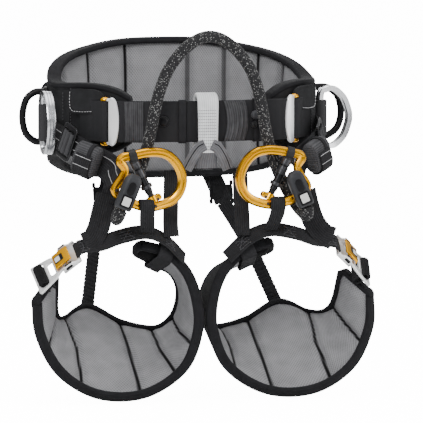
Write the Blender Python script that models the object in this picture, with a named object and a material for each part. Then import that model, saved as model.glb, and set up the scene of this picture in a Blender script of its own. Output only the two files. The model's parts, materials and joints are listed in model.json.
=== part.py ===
"""Tree climbing saddle: a padded waist belt, two leg loops, gated rings and a rope bridge.

Metres, +Z up, the front faces -Y and +X is the viewer's right. The origin is the centre of
the waist opening, at the mid height of the front webbing. Both sides mirror each other in X.
"""

import math

import bpy
from mathutils import Matrix, Vector

# Driving dimensions
GAP = 0.0003
WAIST_HALF_WIDTH = 0.150
WAIST_HALF_DEPTH = 0.105
BELT_END_ANGLE = 152
SHELL_THICKNESS = 0.003
BELT_THICKNESS = 0.017
LEG_THICKNESS = 0.012
BINDING_WIDTH = 0.0065
WAIST_WEBBING_WIDTH = 0.045
WEBBING_THICKNESS = 0.0016
BUCKLE_OFFSET = 0.0098
BUCKLE_ANGLE = 137.4
FRAME_ANGLE = 143.7
BAR_RADIUS = 0.0024
ROPE_RADIUS = 0.0065
RING_CENTRE = Vector((0.066, -0.137, -0.061))
RING_DEPTH = 0.0105
RING_THICKNESS = 0.0105
GEAR_TUBE_RADIUS = 0.0034
GEAR_LOOP_ANGLE = 86
GEAR_LOOP_REACH = {"left": 0.0285, "right": 0.0365}
SIDE_RING_ANGLE = 94
SIDE_RING_OFFSET = 0.0075

# Belt edge heights: degrees from the middle of the back, then the height
TOP_EDGE = [(0, 0.080), (20, 0.0785), (40, 0.0715), (57, 0.0635), (70, 0.0550), (92, 0.040),
            (128, 0.040), (141, 0.035), (152, 0.021)]
LOW_EDGE = [(0, -0.078), (40, -0.073), (70, -0.056), (92, -0.043),
            (128, -0.040), (141, -0.034), (152, -0.020)]

# Places across a padded panel, as shares of its half width
ACROSS = (-1.0, -0.6, -0.2, 0.2, 0.6, 1.0)

# Leg loop stations on the +X side, from the outer end to the tongue: front edge, rear edge
LEG_STATIONS = [
    ((0.194, -0.104, -0.192), (0.165, -0.078, -0.163)),
    ((0.191, -0.112, -0.232), (0.161, -0.052, -0.212)),
    ((0.168, -0.118, -0.275), (0.142, -0.020, -0.223)),
    ((0.123, -0.120, -0.302), (0.110, -0.002, -0.214)),
    ((0.068, -0.119, -0.302), (0.072, -0.004, -0.233)),
    ((0.022, -0.117, -0.274), (0.033, -0.012, -0.240)),
    ((0.0035, -0.114, -0.232), (0.013, -0.032, -0.222)),
    ((0.0045, -0.112, -0.195), (0.0095, -0.050, -0.190)),
    ((0.017, -0.112, -0.162), (0.022, -0.060, -0.166)),
    ((0.042, -0.113, -0.138), (0.048, -0.074, -0.153)),
    ((0.076, -0.112, -0.127), (0.079, -0.092, -0.138)),
]
LEG_CENTRE = Vector((0.0985, -0.060, -0.205))

SILVER = (0.72, 0.73, 0.75)
GOLD = (0.85, 0.45, 0.03)
BLACK = (0.018, 0.018, 0.02)
GREY = (0.32, 0.32, 0.34)
LIGHT_GREY = (0.55, 0.55, 0.56)
DARK_GREY = (0.08, 0.08, 0.085)

nodes = {}


# Helpers


def clear_scene():
    for obj in list(bpy.data.objects):
        bpy.data.objects.remove(obj, do_unlink=True)


def material(name, color, roughness=0.6, metallic=0.0):
    made = bpy.data.materials.get(name)
    if made is None:
        made = bpy.data.materials.new(name)
        made.use_nodes = True
        shader = made.node_tree.nodes["Principled BSDF"]
        shader.inputs["Base Color"].default_value = (*color, 1.0)
        shader.inputs["Roughness"].default_value = roughness
        shader.inputs["Metallic"].default_value = metallic
    return made


def add(name, mesh, finish):
    obj = bpy.data.objects.new(name, mesh)
    bpy.context.scene.collection.objects.link(obj)
    obj.data.materials.append(finish)
    nodes[name] = obj
    return obj


def spline(points, u):
    """A smooth curve through points, at u from 0 to the last index."""
    last = len(points) - 1
    i = min(int(u), last - 1)
    t = u - i
    p1, p2 = Vector(points[i]), Vector(points[i + 1])
    p0 = Vector(points[i - 1]) if i > 0 else 2 * p1 - p2
    p3 = Vector(points[i + 2]) if i + 2 <= last else 2 * p2 - p1
    a = 2 * p1
    b = (p2 - p0) * t
    c = (2 * p0 - 5 * p1 + 4 * p2 - p3) * t * t
    d = (3 * p1 - p0 - 3 * p2 + p3) * t**3
    return (a + b + c + d) / 2


def smooth(points, steps):
    """Points spaced along the smooth curve through a few given ones."""
    last = len(points) - 1
    return [spline(points, last * i / steps) for i in range(steps + 1)]


def smooth_loop(points, steps):
    """The same for a closed curve."""
    count = len(points)
    around = [points[-1], *points, points[0], points[1]]
    return [spline(around, 1 + count * i / steps) for i in range(steps)]


def level(table, angle):
    """A height from a table of (angle, height), joined smoothly."""
    for i, ((a, low), (b, high)) in enumerate(zip(table, table[1:])):
        if angle <= b:
            before, after = table[max(i - 1, 0)], table[min(i + 2, len(table) - 1)]
            start = (high - before[1]) / (b - before[0]) * (b - a) if i else 0
            end = (after[1] - low) / (after[0] - a) * (b - a)
            t, rise = (angle - a) / (b - a), high - low
            return low + t * (start + t * (3 * rise - 2 * start - end + t * (start + end - 2 * rise)))
    return table[-1][1]


def mirrored(points, side):
    return [Vector((side * p[0], p[1], p[2])) for p in points]


def tangents(path, closed=False):
    """Unit directions along a path."""
    count = len(path)
    found = []
    for i in range(count):
        before = path[i - 1] if closed or i > 0 else path[0]
        after = path[(i + 1) % count] if closed or i < count - 1 else path[-1]
        found.append((after - before).normalized())
    return found


def loft(name, sections, finish, closed=False):
    """A closed solid through rings of points that all have the same count."""
    size = len(sections[0])
    points = [p for ring in sections for p in ring]
    faces = []
    rings = len(sections)
    for i in range(rings if closed else rings - 1):
        a, b = i * size, ((i + 1) % rings) * size
        for k in range(size):
            n = (k + 1) % size
            faces.append((a + k, a + n, b + n))
            faces.append((a + k, b + n, b + k))
    if not closed:
        faces.append(tuple(range(size))[::-1])
        faces.append(tuple(range((rings - 1) * size, rings * size)))
    return add(name, outward_mesh(name, points, faces), finish)


def outward_mesh(name, points, faces):
    """A mesh whose faces point out, whichever way round they were given."""
    volume = 0.0
    for face in faces:
        for k in range(1, len(face) - 1):
            volume += points[face[0]].dot(points[face[k]].cross(points[face[k + 1]]))
    if volume < 0:
        faces = [tuple(reversed(face)) for face in faces]
    mesh = bpy.data.meshes.new(name)
    mesh.from_pydata([tuple(p) for p in points], [], faces)
    mesh.update()
    return mesh


def box_section(centre, across, through, width, depth):
    """Four corners of a strap's section."""
    w, d = across * width / 2, through * depth / 2
    return [centre - w - d, centre + w - d, centre + w + d, centre - w + d]


def soft_section(centre, across, through, width, depth, chamfer=0.28):
    """Eight corners: a strap's section with its corners cut."""
    w, d = width / 2, depth / 2
    c = min(w, d) * chamfer * 2
    flat = [(-w, -d + c), (-w + c, -d), (w - c, -d), (w, -d + c)]
    flat += [(w, d - c), (w - c, d), (-w + c, d), (-w, d - c)]
    return [centre + across * x + through * y for x, y in flat]


def round_section(centre, across, through, radius, sides, second=None):
    second = second or radius
    turn = [math.tau * k / sides for k in range(sides)]
    return [centre + across * radius * math.cos(a) + through * second * math.sin(a) for a in turn]


def strap(name, path, facing, width, finish, thickness=WEBBING_THICKNESS, section=box_section):
    """Webbing along a path; facing is the way its flat side looks, once or at each point."""
    rings = []
    for i, (point, along) in enumerate(zip(path, tangents(path))):
        face = facing[i] if isinstance(facing, list) else facing
        across = along.cross(face).normalized()
        rings.append(section(point, across, across.cross(along).normalized(), width, thickness))
    return loft(name, rings, finish)


def tube(name, path, radius, finish, sides=10, closed=False, up=Vector((0, 1, 0)), second=None):
    """A round bar along a path that never runs along up."""
    rings = []
    for point, along in zip(path, tangents(path, closed)):
        across = along.cross(up).normalized()
        rings.append(round_section(point, across, across.cross(along), radius, sides, second))
    return loft(name, rings, finish, closed)


def rod(name, start, end, radius, finish, sides=14):
    along = (end - start).normalized()
    up = Vector((0, 1, 0)) if abs(along.y) < 0.8 else Vector((1, 0, 0))
    return tube(name, [start, end], radius, finish, sides, up=up)


def stepped_rod(name, start, end, profile, finish, sides=16):
    """A turned bar: profile is (share of its length, radius) pairs."""
    along = (end - start).normalized()
    up = Vector((0, 1, 0)) if abs(along.y) < 0.8 else Vector((1, 0, 0))
    across = along.cross(up).normalized()
    rings = []
    for share, radius in profile:
        rings.append(round_section(start.lerp(end, share), across, across.cross(along), radius, sides))
    return loft(name, rings, finish)


def rounded(width, height, radius, steps=3):
    """The outline of a rectangle with round corners, centred on zero."""
    outline = []
    w, h = width / 2 - radius, height / 2 - radius
    for k, (x, y) in enumerate([(w, h), (-w, h), (-w, -h), (w, -h)]):
        for s in range(steps + 1):
            a = math.radians(90 * (k + s / steps))
            outline.append((x + radius * math.cos(a), y + radius * math.sin(a)))
    return outline


def moved(outline, x, y):
    return [(p[0] + x, p[1] + y) for p in outline]


def plate(name, outline, windows, thickness, place, finish):
    """A flat plate with windows, in the plane of place's first two axes."""
    curve = bpy.data.curves.new(name + "_outline", "CURVE")
    curve.dimensions = "2D"
    curve.fill_mode = "BOTH"
    curve.extrude = thickness / 2
    for ring in [outline, *windows]:
        line = curve.splines.new("POLY")
        line.points.add(len(ring) - 1)
        for point, (x, y) in zip(line.points, ring):
            point.co = (x, y, 0, 1)
        line.use_cyclic_u = True
    guide = bpy.data.objects.new(name + "_guide", curve)
    bpy.context.scene.collection.objects.link(guide)
    flat = bpy.data.meshes.new_from_object(guide.evaluated_get(bpy.context.evaluated_depsgraph_get()))
    bpy.data.objects.remove(guide, do_unlink=True)
    welded = {}
    index = []
    for vertex in flat.vertices:
        key = tuple(round(c, 6) for c in vertex.co)
        index.append(welded.setdefault(key, len(welded)))
    points = [place @ Vector(key) for key in welded]
    faces = [tuple(index[v] for v in face.vertices) for face in flat.polygons]
    bpy.data.meshes.remove(flat)
    return add(name, outward_mesh(name, points, faces), finish)


def place_at(origin, x_axis, y_axis):
    """A frame at origin whose first two axes are the given directions."""
    x = x_axis.normalized()
    z = x.cross(y_axis).normalized()
    y = z.cross(x)
    turned = Matrix((x, y, z)).transposed().to_4x4()
    turned.translation = origin
    return turned


def belt_normal(angle):
    """The way out of the belt, by degrees from the middle of the back towards +X."""
    a = math.radians(angle)
    return Vector((math.sin(a) / WAIST_HALF_WIDTH, math.cos(a) / WAIST_HALF_DEPTH, 0)).normalized()


def on_belt(angle, offset, height, side=1):
    a = math.radians(angle)
    ring = Vector((WAIST_HALF_WIDTH * math.sin(a), WAIST_HALF_DEPTH * math.cos(a), height))
    point = ring + belt_normal(angle) * offset
    return Vector((side * point.x, point.y, point.z))


def out_of_belt(angle, side=1):
    normal = belt_normal(angle)
    return Vector((side * normal.x, normal.y, 0))


# Padded panels: the waist belt and the leg loops are built alike


def panel(names, stations, depth, finishes, end_margin):
    """Shell, padding and edge binding between a low and a high edge.

    stations is a list of (low edge, high edge, way in to the wearer).
    """
    shell_name, pad_name, binding_name = names
    inset = BINDING_WIDTH + 3 * GAP
    shell, pad = [], []
    for low, high, inward in stations[end_margin:-end_margin]:
        across = (high - low).normalized()
        half = (high - low).length / 2 - inset
        middle = (low + high) / 2
        rows = []
        for into, share in ((0, 1), (SHELL_THICKNESS, 1), (SHELL_THICKNESS + 2 * GAP, 1), (depth, 0.86)):
            rows.append([middle + across * (half * share * x) + inward * into for x in ACROSS])
        shell.append(rows[1] + rows[0][::-1])
        pad.append(rows[2] + rows[3][::-1])
    loft(shell_name, shell, finishes[0])
    loft(pad_name, pad, finishes[1])
    rim = []
    for low, high, inward in stations[1:-1]:
        rim.append((low, (high - low).normalized(), inward))
    rim += end_stations(stations[-1], stations[-2])
    for low, high, inward in reversed(stations[1:-1]):
        rim.append((high, (low - high).normalized(), inward))
    rim += end_stations(stations[0], stations[1])[::-1]
    rings = []
    for edge, inside, inward in rim:
        middle = edge + inside * BINDING_WIDTH / 2 + inward * (depth - 0.001) / 2
        rings.append(box_section(middle, inside, inward, BINDING_WIDTH, depth - 0.001))
    loft(binding_name, rings, finishes[2], closed=True)


def end_stations(end, before):
    """The binding's turn around one end, from the low edge to the high one."""
    low, high, inward = end
    middle = (low + high) / 2
    back = ((before[0] + before[1]) / 2 - middle).normalized()
    across = (high - low).normalized()
    return [
        (low, (across + back).normalized(), inward),
        (middle, back, inward),
        (high, (back - across).normalized(), inward),
    ]


def belt_stations(count=44):
    stations = []
    for i in range(count + 1):
        angle = -BELT_END_ANGLE + 2 * BELT_END_ANGLE * i / count
        low = on_belt(angle, 0, level(LOW_EDGE, abs(angle)))
        high = on_belt(angle, 0, level(TOP_EDGE, abs(angle)))
        stations.append((low, high, -belt_normal(angle)))
    return stations


def leg_stations(side, count=34):
    near = smooth([s[0] for s in LEG_STATIONS], count)
    far = smooth([s[1] for s in LEG_STATIONS], count)
    along = tangents([(a + b) / 2 for a, b in zip(near, far)])
    stations = []
    for low, high, direction in zip(near, far, along):
        inward = direction.cross(high - low).normalized()
        if inward.dot(LEG_CENTRE - (low + high) / 2) < 0:
            inward = -inward
        flip = Vector((side, 1, 1))
        stations.append((low * flip, high * flip, inward * flip))
    return stations


def make_belt():
    shell = material("belt_shell_fabric", BLACK, 0.85)
    mesh = material("belt_padding_mesh", GREY, 0.9)
    tape = material("belt_binding_tape", BLACK, 0.8)
    names = ["belt_shell", "belt_padding", "belt_binding"]
    panel(names, belt_stations(), BELT_THICKNESS, [shell, mesh, tape], 2)


def make_leg(side, end):
    shell = material("leg_shell_fabric", BLACK, 0.85)
    mesh = material("leg_padding_mesh", GREY, 0.9)
    tape = material("leg_binding_tape", BLACK, 0.8)
    names = ["leg_shell_" + end, "leg_padding_" + end, "leg_binding_" + end]
    panel(names, leg_stations(side), LEG_THICKNESS, [shell, mesh, tape], 2)


# Waist closure


def webbing_half(side):
    """Half of the waist webbing, from the middle to its fold round the buckle frame and back."""
    fold = 0.0030
    path = []
    for i in range(9):
        angle = 178 + (FRAME_ANGLE + 1.2 - 178) * i / 8
        rise = max(0, i - 5) / 3
        path.append(on_belt(angle, 0.0052 + (BUCKLE_OFFSET - fold - 0.0052) * rise, 0, side))
    leg = on_belt(FRAME_ANGLE, BUCKLE_OFFSET, 0, side)
    out = out_of_belt(FRAME_ANGLE, side)
    back = Vector((0, 0, 1)).cross(out) * -side
    for i in range(7):
        turn = math.radians(180 * i / 6)
        path.append(leg - back * math.sin(turn) * (fold + 0.0034) - out * math.cos(turn) * fold)
    for i in range(1, 5):
        path.append(on_belt(FRAME_ANGLE + 1.2 + 3.2 * i, BUCKLE_OFFSET + fold - 0.0004 * i, 0, side))
    return path


def make_front_webbing():
    """Waist webbing, folded at each end round a buckle frame's leg and back over itself."""
    black = material("webbing_black", BLACK, 0.75)
    path = webbing_half(-1)[::-1] + webbing_half(1)
    up = Vector((0, 0, 1))
    rings = []
    for point, along in zip(path, tangents(path)):
        outward = along.cross(up).normalized()
        rings.append(box_section(point, up, outward, WAIST_WEBBING_WIDTH, WEBBING_THICKNESS))
    loft("front_webbing", rings, black)


def make_waist_buckle(end, side):
    silver = material("buckle_silver", SILVER, 0.3, 0.9)
    gold = material("anodised_gold", GOLD, 0.35, 0.8)
    black = material("webbing_black", BLACK, 0.75)
    top = WAIST_WEBBING_WIDTH / 2 + 0.0004
    cap = 0.0040
    low = on_belt(BUCKLE_ANGLE, BUCKLE_OFFSET, -top - cap, side)
    high = on_belt(BUCKLE_ANGLE, BUCKLE_OFFSET, top + cap, side)
    share = cap / (2 * (top + cap))
    profile = [(0, 0.0038), (0.02, 0.0052), (share, 0.0052), (share + 0.001, BAR_RADIUS)]
    profile += [(1 - share - 0.001, BAR_RADIUS), (1 - share, 0.0052), (0.98, 0.0052), (1, 0.0038)]
    stepped_rod("waist_bar_" + end, low, high, profile, gold)
    bar = on_belt(BUCKLE_ANGLE, BUCKLE_OFFSET, 0, side)
    out = out_of_belt(BUCKLE_ANGLE, side)
    back = Vector((0, 0, 1)).cross(out) * side
    if back.y < 0:
        back = -back
    radius = BAR_RADIUS + 0.0013
    wrap = [on_belt(BUCKLE_ANGLE - 9, 0.0016, 0, side), on_belt(BUCKLE_ANGLE - 5, 0.0030, 0, side)]
    for i in range(9):
        turn = math.radians(-70 - 220 * i / 8)
        wrap.append(bar + (back * math.cos(turn) + out * math.sin(turn)) * radius)
    wrap.append(on_belt(BUCKLE_ANGLE - 5, 0.0075, 0, side))
    wrap.append(on_belt(BUCKLE_ANGLE - 9, 0.0052, 0, side))
    up = Vector((0, 0, 1))
    rings = []
    for point, along in zip(wrap, tangents(wrap)):
        rings.append(box_section(point, up, along.cross(up).normalized(), 2 * top - 0.001, WEBBING_THICKNESS))
    loft("waist_bar_webbing_" + end, rings, black)
    reach = 0.0305
    ring = []
    for i in range(19):
        turn = math.pi * (0.5 - i / 18)
        swing = math.cos(turn) ** 0.25 if abs(turn) < math.pi / 2 - 1e-6 else 0
        angle = BUCKLE_ANGLE + (FRAME_ANGLE - BUCKLE_ANGLE) * swing
        ring.append((angle, reach * math.sin(turn)))
    path = [on_belt(angle, BUCKLE_OFFSET, z, side) for angle, z in ring]
    path[0].z = top + cap + GAP + 0.0020
    path[-1].z = -path[0].z
    sections = []
    for (angle, _), point, along in zip(ring, path, tangents(path)):
        through = out_of_belt(angle, side)
        across = along.cross(through).normalized()
        sections.append(box_section(point, across, through, 0.0038, 0.0030))
    loft("waist_frame_" + end, sections, silver)


# Side hardware


def make_side(end, side):
    silver = material("ring_silver", SILVER, 0.25, 0.95)
    black = material("webbing_black", BLACK, 0.75)
    tube_black = material("gear_tube_black", BLACK, 0.5)
    folded = side < 0
    hinge = on_belt(SIDE_RING_ANGLE, SIDE_RING_OFFSET, 0, side)
    out = Vector((side, 0, 0))
    forward = Vector((0, -1, 0))
    swing = forward if folded else (out * 0.98 - forward * 0.2).normalized()
    half = 0.0315
    outline = [(0.0, half - 0.008), (0.006, half - 0.001), (0.016, half), (0.028, half - 0.010)]
    outline += [(0.034, half - 0.024), (0.035, 0.0)]
    loop = outline + [(u, -z) for u, z in reversed(outline[:-1])]
    path = smooth_loop([hinge + swing * u + Vector((0, 0, z - 0.0055)) for u, z in loop], 40)
    face = swing.cross(Vector((0, 0, 1)))
    sections = []
    for point, along in zip(path, tangents(path, True)):
        across = along.cross(face).normalized()
        sections.append(soft_section(point, across, face, 0.0055, 0.0085))
    loft("side_d_ring_" + end, sections, silver, closed=True)
    reach = GEAR_LOOP_REACH[end]
    sweep = [(0.0045, 0.0270), (0.52 * reach, 0.0265), (0.86 * reach, 0.018), (reach, 0)]
    sweep += [(0.88 * reach, -0.018), (0.52 * reach, -0.0275), (0.0045, -0.0280)]
    ring_path = [on_belt(GEAR_LOOP_ANGLE, offset, z, side) for offset, z in sweep]
    tube("gear_loop_" + end, smooth(ring_path, 24), GEAR_TUBE_RADIUS, tube_black, 8)
    make_side_strap(end, side, black, silver)


def make_side_strap(end, side, black, silver):
    start = [on_belt(100, 0.0020, -0.014, side), on_belt(109, 0.0060, -0.018, side)]
    start += [on_belt(118, 0.0125, -0.023, side), on_belt(127, 0.0165, -0.031, side)]
    start += [on_belt(135, 0.0190, -0.039, side), on_belt(141.5, 0.0235, -0.047, side)]
    start += mirrored([(0.1045, -0.115, -0.0555), (0.104, -0.1262, -0.0625)], side)
    path = smooth(start, 22)
    facings = [out_of_belt(min(140, 100 + 40 * i / 14), side) for i in range(len(path))]
    strap("side_strap_" + end, path, facings, 0.025, black)
    centre = on_belt(119, 0.0133, -0.0238, side)
    out = out_of_belt(119, side)
    along = (on_belt(122, 0.0148, -0.027, side) - on_belt(116, 0.0112, -0.021, side)).normalized()
    across = along.cross(out).normalized()
    outline = rounded(0.024, 0.040, 0.003)
    window = rounded(0.0068, 0.0290, 0.001)
    place = Matrix.Translation(out * 0.0030) @ place_at(centre, along, across)
    windows = [moved(window, -0.0060, 0), moved(window, 0.0060, 0)]
    plate("side_adjuster_" + end, outline, windows, 0.0024, place, silver)
    bundle = on_belt(133, 0.0340, -0.040, side)
    bundle_out = out_of_belt(133, side)
    roll_along = (on_belt(136, 0.0340, -0.042, side) - on_belt(130, 0.0340, -0.036, side)).normalized()
    roll_across = roll_along.cross(bundle_out).normalized()
    rings = []
    shares = [(-0.0135, 0.72), (-0.0115, 0.95), (-0.0035, 1), (0.0065, 1), (0.0125, 0.93), (0.0145, 0.7)]
    for u, scale in shares:
        middle = bundle + roll_along * u
        rings.append(soft_section(middle, roll_across, bundle_out, 0.036 * scale, 0.020 * scale))
    loft("webbing_roll_" + end, rings, black)


# Rings, bridge and centre loop


def ring_point(side, u, w, depth=0.0):
    """A point on a gated ring: u in mm towards the middle, w up, depth towards the wearer."""
    centre = RING_CENTRE
    return Vector((side * (centre.x - u / 1000), centre.y + depth / 1000, centre.z + w / 1000))


RING_LINE = [
    (-36, 23), (-20, 27.5), (0, 30.5), (16, 27.5), (27.5, 17), (33.5, 2), (31, -12), (23, -22),
    (10, -27.5), (-5, -29.5), (-20, -26), (-34, -19), (-42, -10), (-34, 3), (-31, 12),
]


def make_ring(end, side):
    gold = material("anodised_gold", GOLD, 0.35, 0.8)
    dark = material("gate_black", BLACK, 0.4, 0.3)
    path = smooth_loop([ring_point(side, u, w) for u, w in RING_LINE], 48)
    face = Vector((0, 1, 0))
    sections = []
    for point, along in zip(path, tangents(path, True)):
        across = along.cross(face).normalized()
        sections.append(soft_section(point, across, face, RING_THICKNESS, RING_DEPTH, 0.3))
    loft("ring_body_" + end, sections, gold, closed=True)
    top, low = ring_point(side, -20.0, 20.2), ring_point(side, 0.6, -21.4)
    profile = [(0, 0.0052), (0.16, 0.0052), (0.161, 0.0041), (0.62, 0.0041), (0.621, 0.0058)]
    profile += [(0.70, 0.0058), (0.701, 0.0030), (1.0, 0.0030)]
    stepped_rod("ring_gate_" + end, top, low, profile, dark)


def make_sleeve(end, side):
    plastic = material("sleeve_grey", DARK_GREY, 0.45)
    top = Vector((side * 0.090, -0.1515, -0.0575))
    low = Vector((side * 0.1035, -0.1515, -0.0905))
    along = (low - top).normalized()
    face = Vector((0, 1, 0))
    across = along.cross(face).normalized()
    rings = []
    for share, width, depth in [(0, 0.011, 0.007), (0.05, 0.016, 0.0110), (0.2, 0.0195, 0.0150),
                                (0.9, 0.0195, 0.0155), (1.0, 0.0175, 0.0140)]:
        rings.append(soft_section(top.lerp(low, share), across, face, width, depth))
    loft("rope_sleeve_" + end, rings, plastic)


BRIDGE_HALF = [
    (0, -0.1300, 0.0940), (0.012, -0.1300, 0.0915), (0.024, -0.1298, 0.0840), (0.034, -0.1295, 0.0745),
    (0.046, -0.1285, 0.0580), (0.0549, -0.1270, 0.0360), (0.0603, -0.1255, 0.0140),
    (0.0643, -0.1243, -0.0080), (0.0690, -0.1240, -0.0275), (0.0770, -0.1240, -0.0515),
    (0.0885, -0.1240, -0.0755),
    (0.0980, -0.1250, -0.0915), (0.1040, -0.1310, -0.1000), (0.1066, -0.1390, -0.1032),
    (0.1066, -0.1465, -0.1010), (0.1055, -0.1508, -0.0965), (0.1043, -0.1515, -0.0926),
]


def make_bridge():
    """The adjustable bridge rope, from one sleeve over the front to the other."""
    speckled = material("bridge_rope", BLACK, 0.8)
    right = mirrored(BRIDGE_HALF, 1)
    left = mirrored(BRIDGE_HALF[1:], -1)
    route = smooth(left[::-1] + right, 68)
    curve = bpy.data.curves.new("bridge_rope", "CURVE")
    curve.dimensions = "3D"
    line = curve.splines.new("POLY")
    line.points.add(len(route) - 1)
    for point, place in zip(line.points, route):
        point.co = (*place, 1)
    curve.bevel_depth = ROPE_RADIUS
    curve.bevel_resolution = 3
    curve.use_fill_caps = True
    add("bridge_rope", curve, speckled)


def make_centre_loop():
    textile = material("loop_light_grey", LIGHT_GREY, 0.8)
    base = material("loop_base_grey", DARK_GREY, 0.85)
    black = material("webbing_black", BLACK, 0.75)
    side_path = []
    front, rear = -0.1235, -0.1005
    for z in (-0.032, -0.01, 0.010, 0.0185):
        side_path.append(Vector((0, front, z)))
    for i in range(1, 6):
        turn = math.pi * i / 6
        y = (front + rear) / 2 + (front - rear) / 2 * math.cos(turn)
        side_path.append(Vector((0, y, 0.0185 + 0.0115 * math.sin(turn))))
    for z in (0.0185, 0.006, -0.012, -0.032):
        side_path.append(Vector((0, rear, z)))
    x = Vector((1, 0, 0))
    rings = []
    for point, along in zip(side_path, tangents(side_path)):
        rings.append(box_section(point, x, along.cross(x).normalized(), 0.020, 0.0030))
    loft("centre_loop", rings, textile)
    rings = []
    for z, width, depth in [(-0.0325, 0.021, 0.0260), (-0.040, 0.024, 0.0140), (-0.050, 0.025, 0.006)]:
        rings.append(soft_section(Vector((0, -0.1120, z)), x, Vector((0, 1, 0)), width, depth))
    loft("loop_base", rings, base)
    points = (0.004, -0.1120, -0.0512), (0.018, -0.1120, -0.0530), (0.0385, -0.1120, -0.0535)
    half = [Vector(p) for p in points]
    path = mirrored(half, -1)[::-1] + half
    strap("loop_link", path, Vector((0, 0, 1)), 0.0050, black)


# Leg straps


def make_leg_straps(end, side):
    black = material("webbing_black", BLACK, 0.75)
    front = Vector((0, -1, 0))
    points = [(0.0385, -0.1120, -0.0545), (0.0395, -0.1135, -0.085), (0.0410, -0.1165, -0.1175)]
    inner = mirrored(points, side)
    strap("inner_strap_" + end, smooth(inner, 8), front, 0.017, black)
    points = [(0.0730, -0.1370, -0.0965), (0.0720, -0.1330, -0.1080), (0.0700, -0.1260, -0.1155)]
    ring_strap = mirrored(points, side)
    strap("ring_leg_strap_" + end, smooth(ring_strap, 6), front, 0.015, black)
    points = [(0.1115, -0.1140, -0.0790), (0.1160, -0.1130, -0.0960), (0.1258, -0.1125, -0.1160)]
    outer = mirrored(points, side)
    strap("outer_strap_" + end, smooth(outer, 8), front, 0.024, black)
    origin, along, _, face = buckle_frame(side)
    top = [origin - along * 0.0108 - face * 0.0010, origin - along * 0.0170 - face * 0.0012]
    top += mirrored([(0.122, -0.1215, -0.1315), (0.098, -0.1220, -0.1235),
                    (0.070, -0.1200, -0.1195), (0.046, -0.1170, -0.1290), (0.024, -0.1120, -0.1500)], side)
    path = smooth(top, 16)
    facings = []
    for i in range(len(path)):
        facings.append(Vector((side * (0.35 - 0.9 * i / 16), -0.62, 0.80)).normalized())
    strap("leg_top_strap_" + end, path, facings, 0.022, black)
    make_riser(end, side, black)


def make_riser(end, side, black):
    elastic = material("elastic_black", BLACK, 0.9)
    dark = material("lock_plastic", BLACK, 0.4)
    rear = Vector((0, 1, 0.3)).normalized()
    outline = rounded(0.027, 0.016, 0.002)
    window = rounded(0.0190, 0.0035, 0.0008, 2)
    down = Vector((side * 0.05, -0.30, -0.95)).normalized()
    place = place_at(Vector((side * 0.0670, 0.0860, -0.0950)), Vector((1, 0, 0)), down)
    windows = [moved(window, 0, -0.0035), moved(window, 0, 0.0035)]
    plate("ladder_lock_" + end, outline, windows, 0.0030, place, dark)
    points = [(0.0684, 0.0812, -0.1060), (0.0780, 0.0640, -0.1260), (0.0885, 0.0455, -0.1490)]
    webbing = mirrored(points, side)
    strap("riser_webbing_" + end, smooth(webbing, 6), rear, 0.014, black)
    start, stop = mirrored([(0.0888, 0.0448, -0.1500), (0.1075, -0.0018, -0.2112)], side)
    along = (stop - start).normalized()
    across = along.cross(rear).normalized()
    through = across.cross(along)
    rings = []
    ribs = 15
    for i in range(2 * ribs + 1):
        wide = i % 2 == 1
        width = 0.0145 if wide else 0.0120
        thick = 0.0065 if wide else 0.0040
        rings.append(box_section(start.lerp(stop, i / (2 * ribs)), across, through, width, thick))
    loft("elastic_riser_" + end, rings, elastic)


# Leg buckles

BUCKLE_ORIGIN = Vector((0.1545, -0.1185, -0.1430))
BUCKLE_ALONG = Vector((0.693, 0.383, -0.610)).normalized()
BUCKLE_OUT = Vector((0.74, -0.49, 0.46))


def buckle_frame(side):
    """The buckle's own axes: along to the tongue, across, and out of its face."""
    flip = Vector((side, 1, 1))
    along = BUCKLE_ALONG
    out = (BUCKLE_OUT - along * BUCKLE_OUT.dot(along)).normalized()
    across = out.cross(along)
    return BUCKLE_ORIGIN * flip, along * flip, across * flip, out * flip


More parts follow.
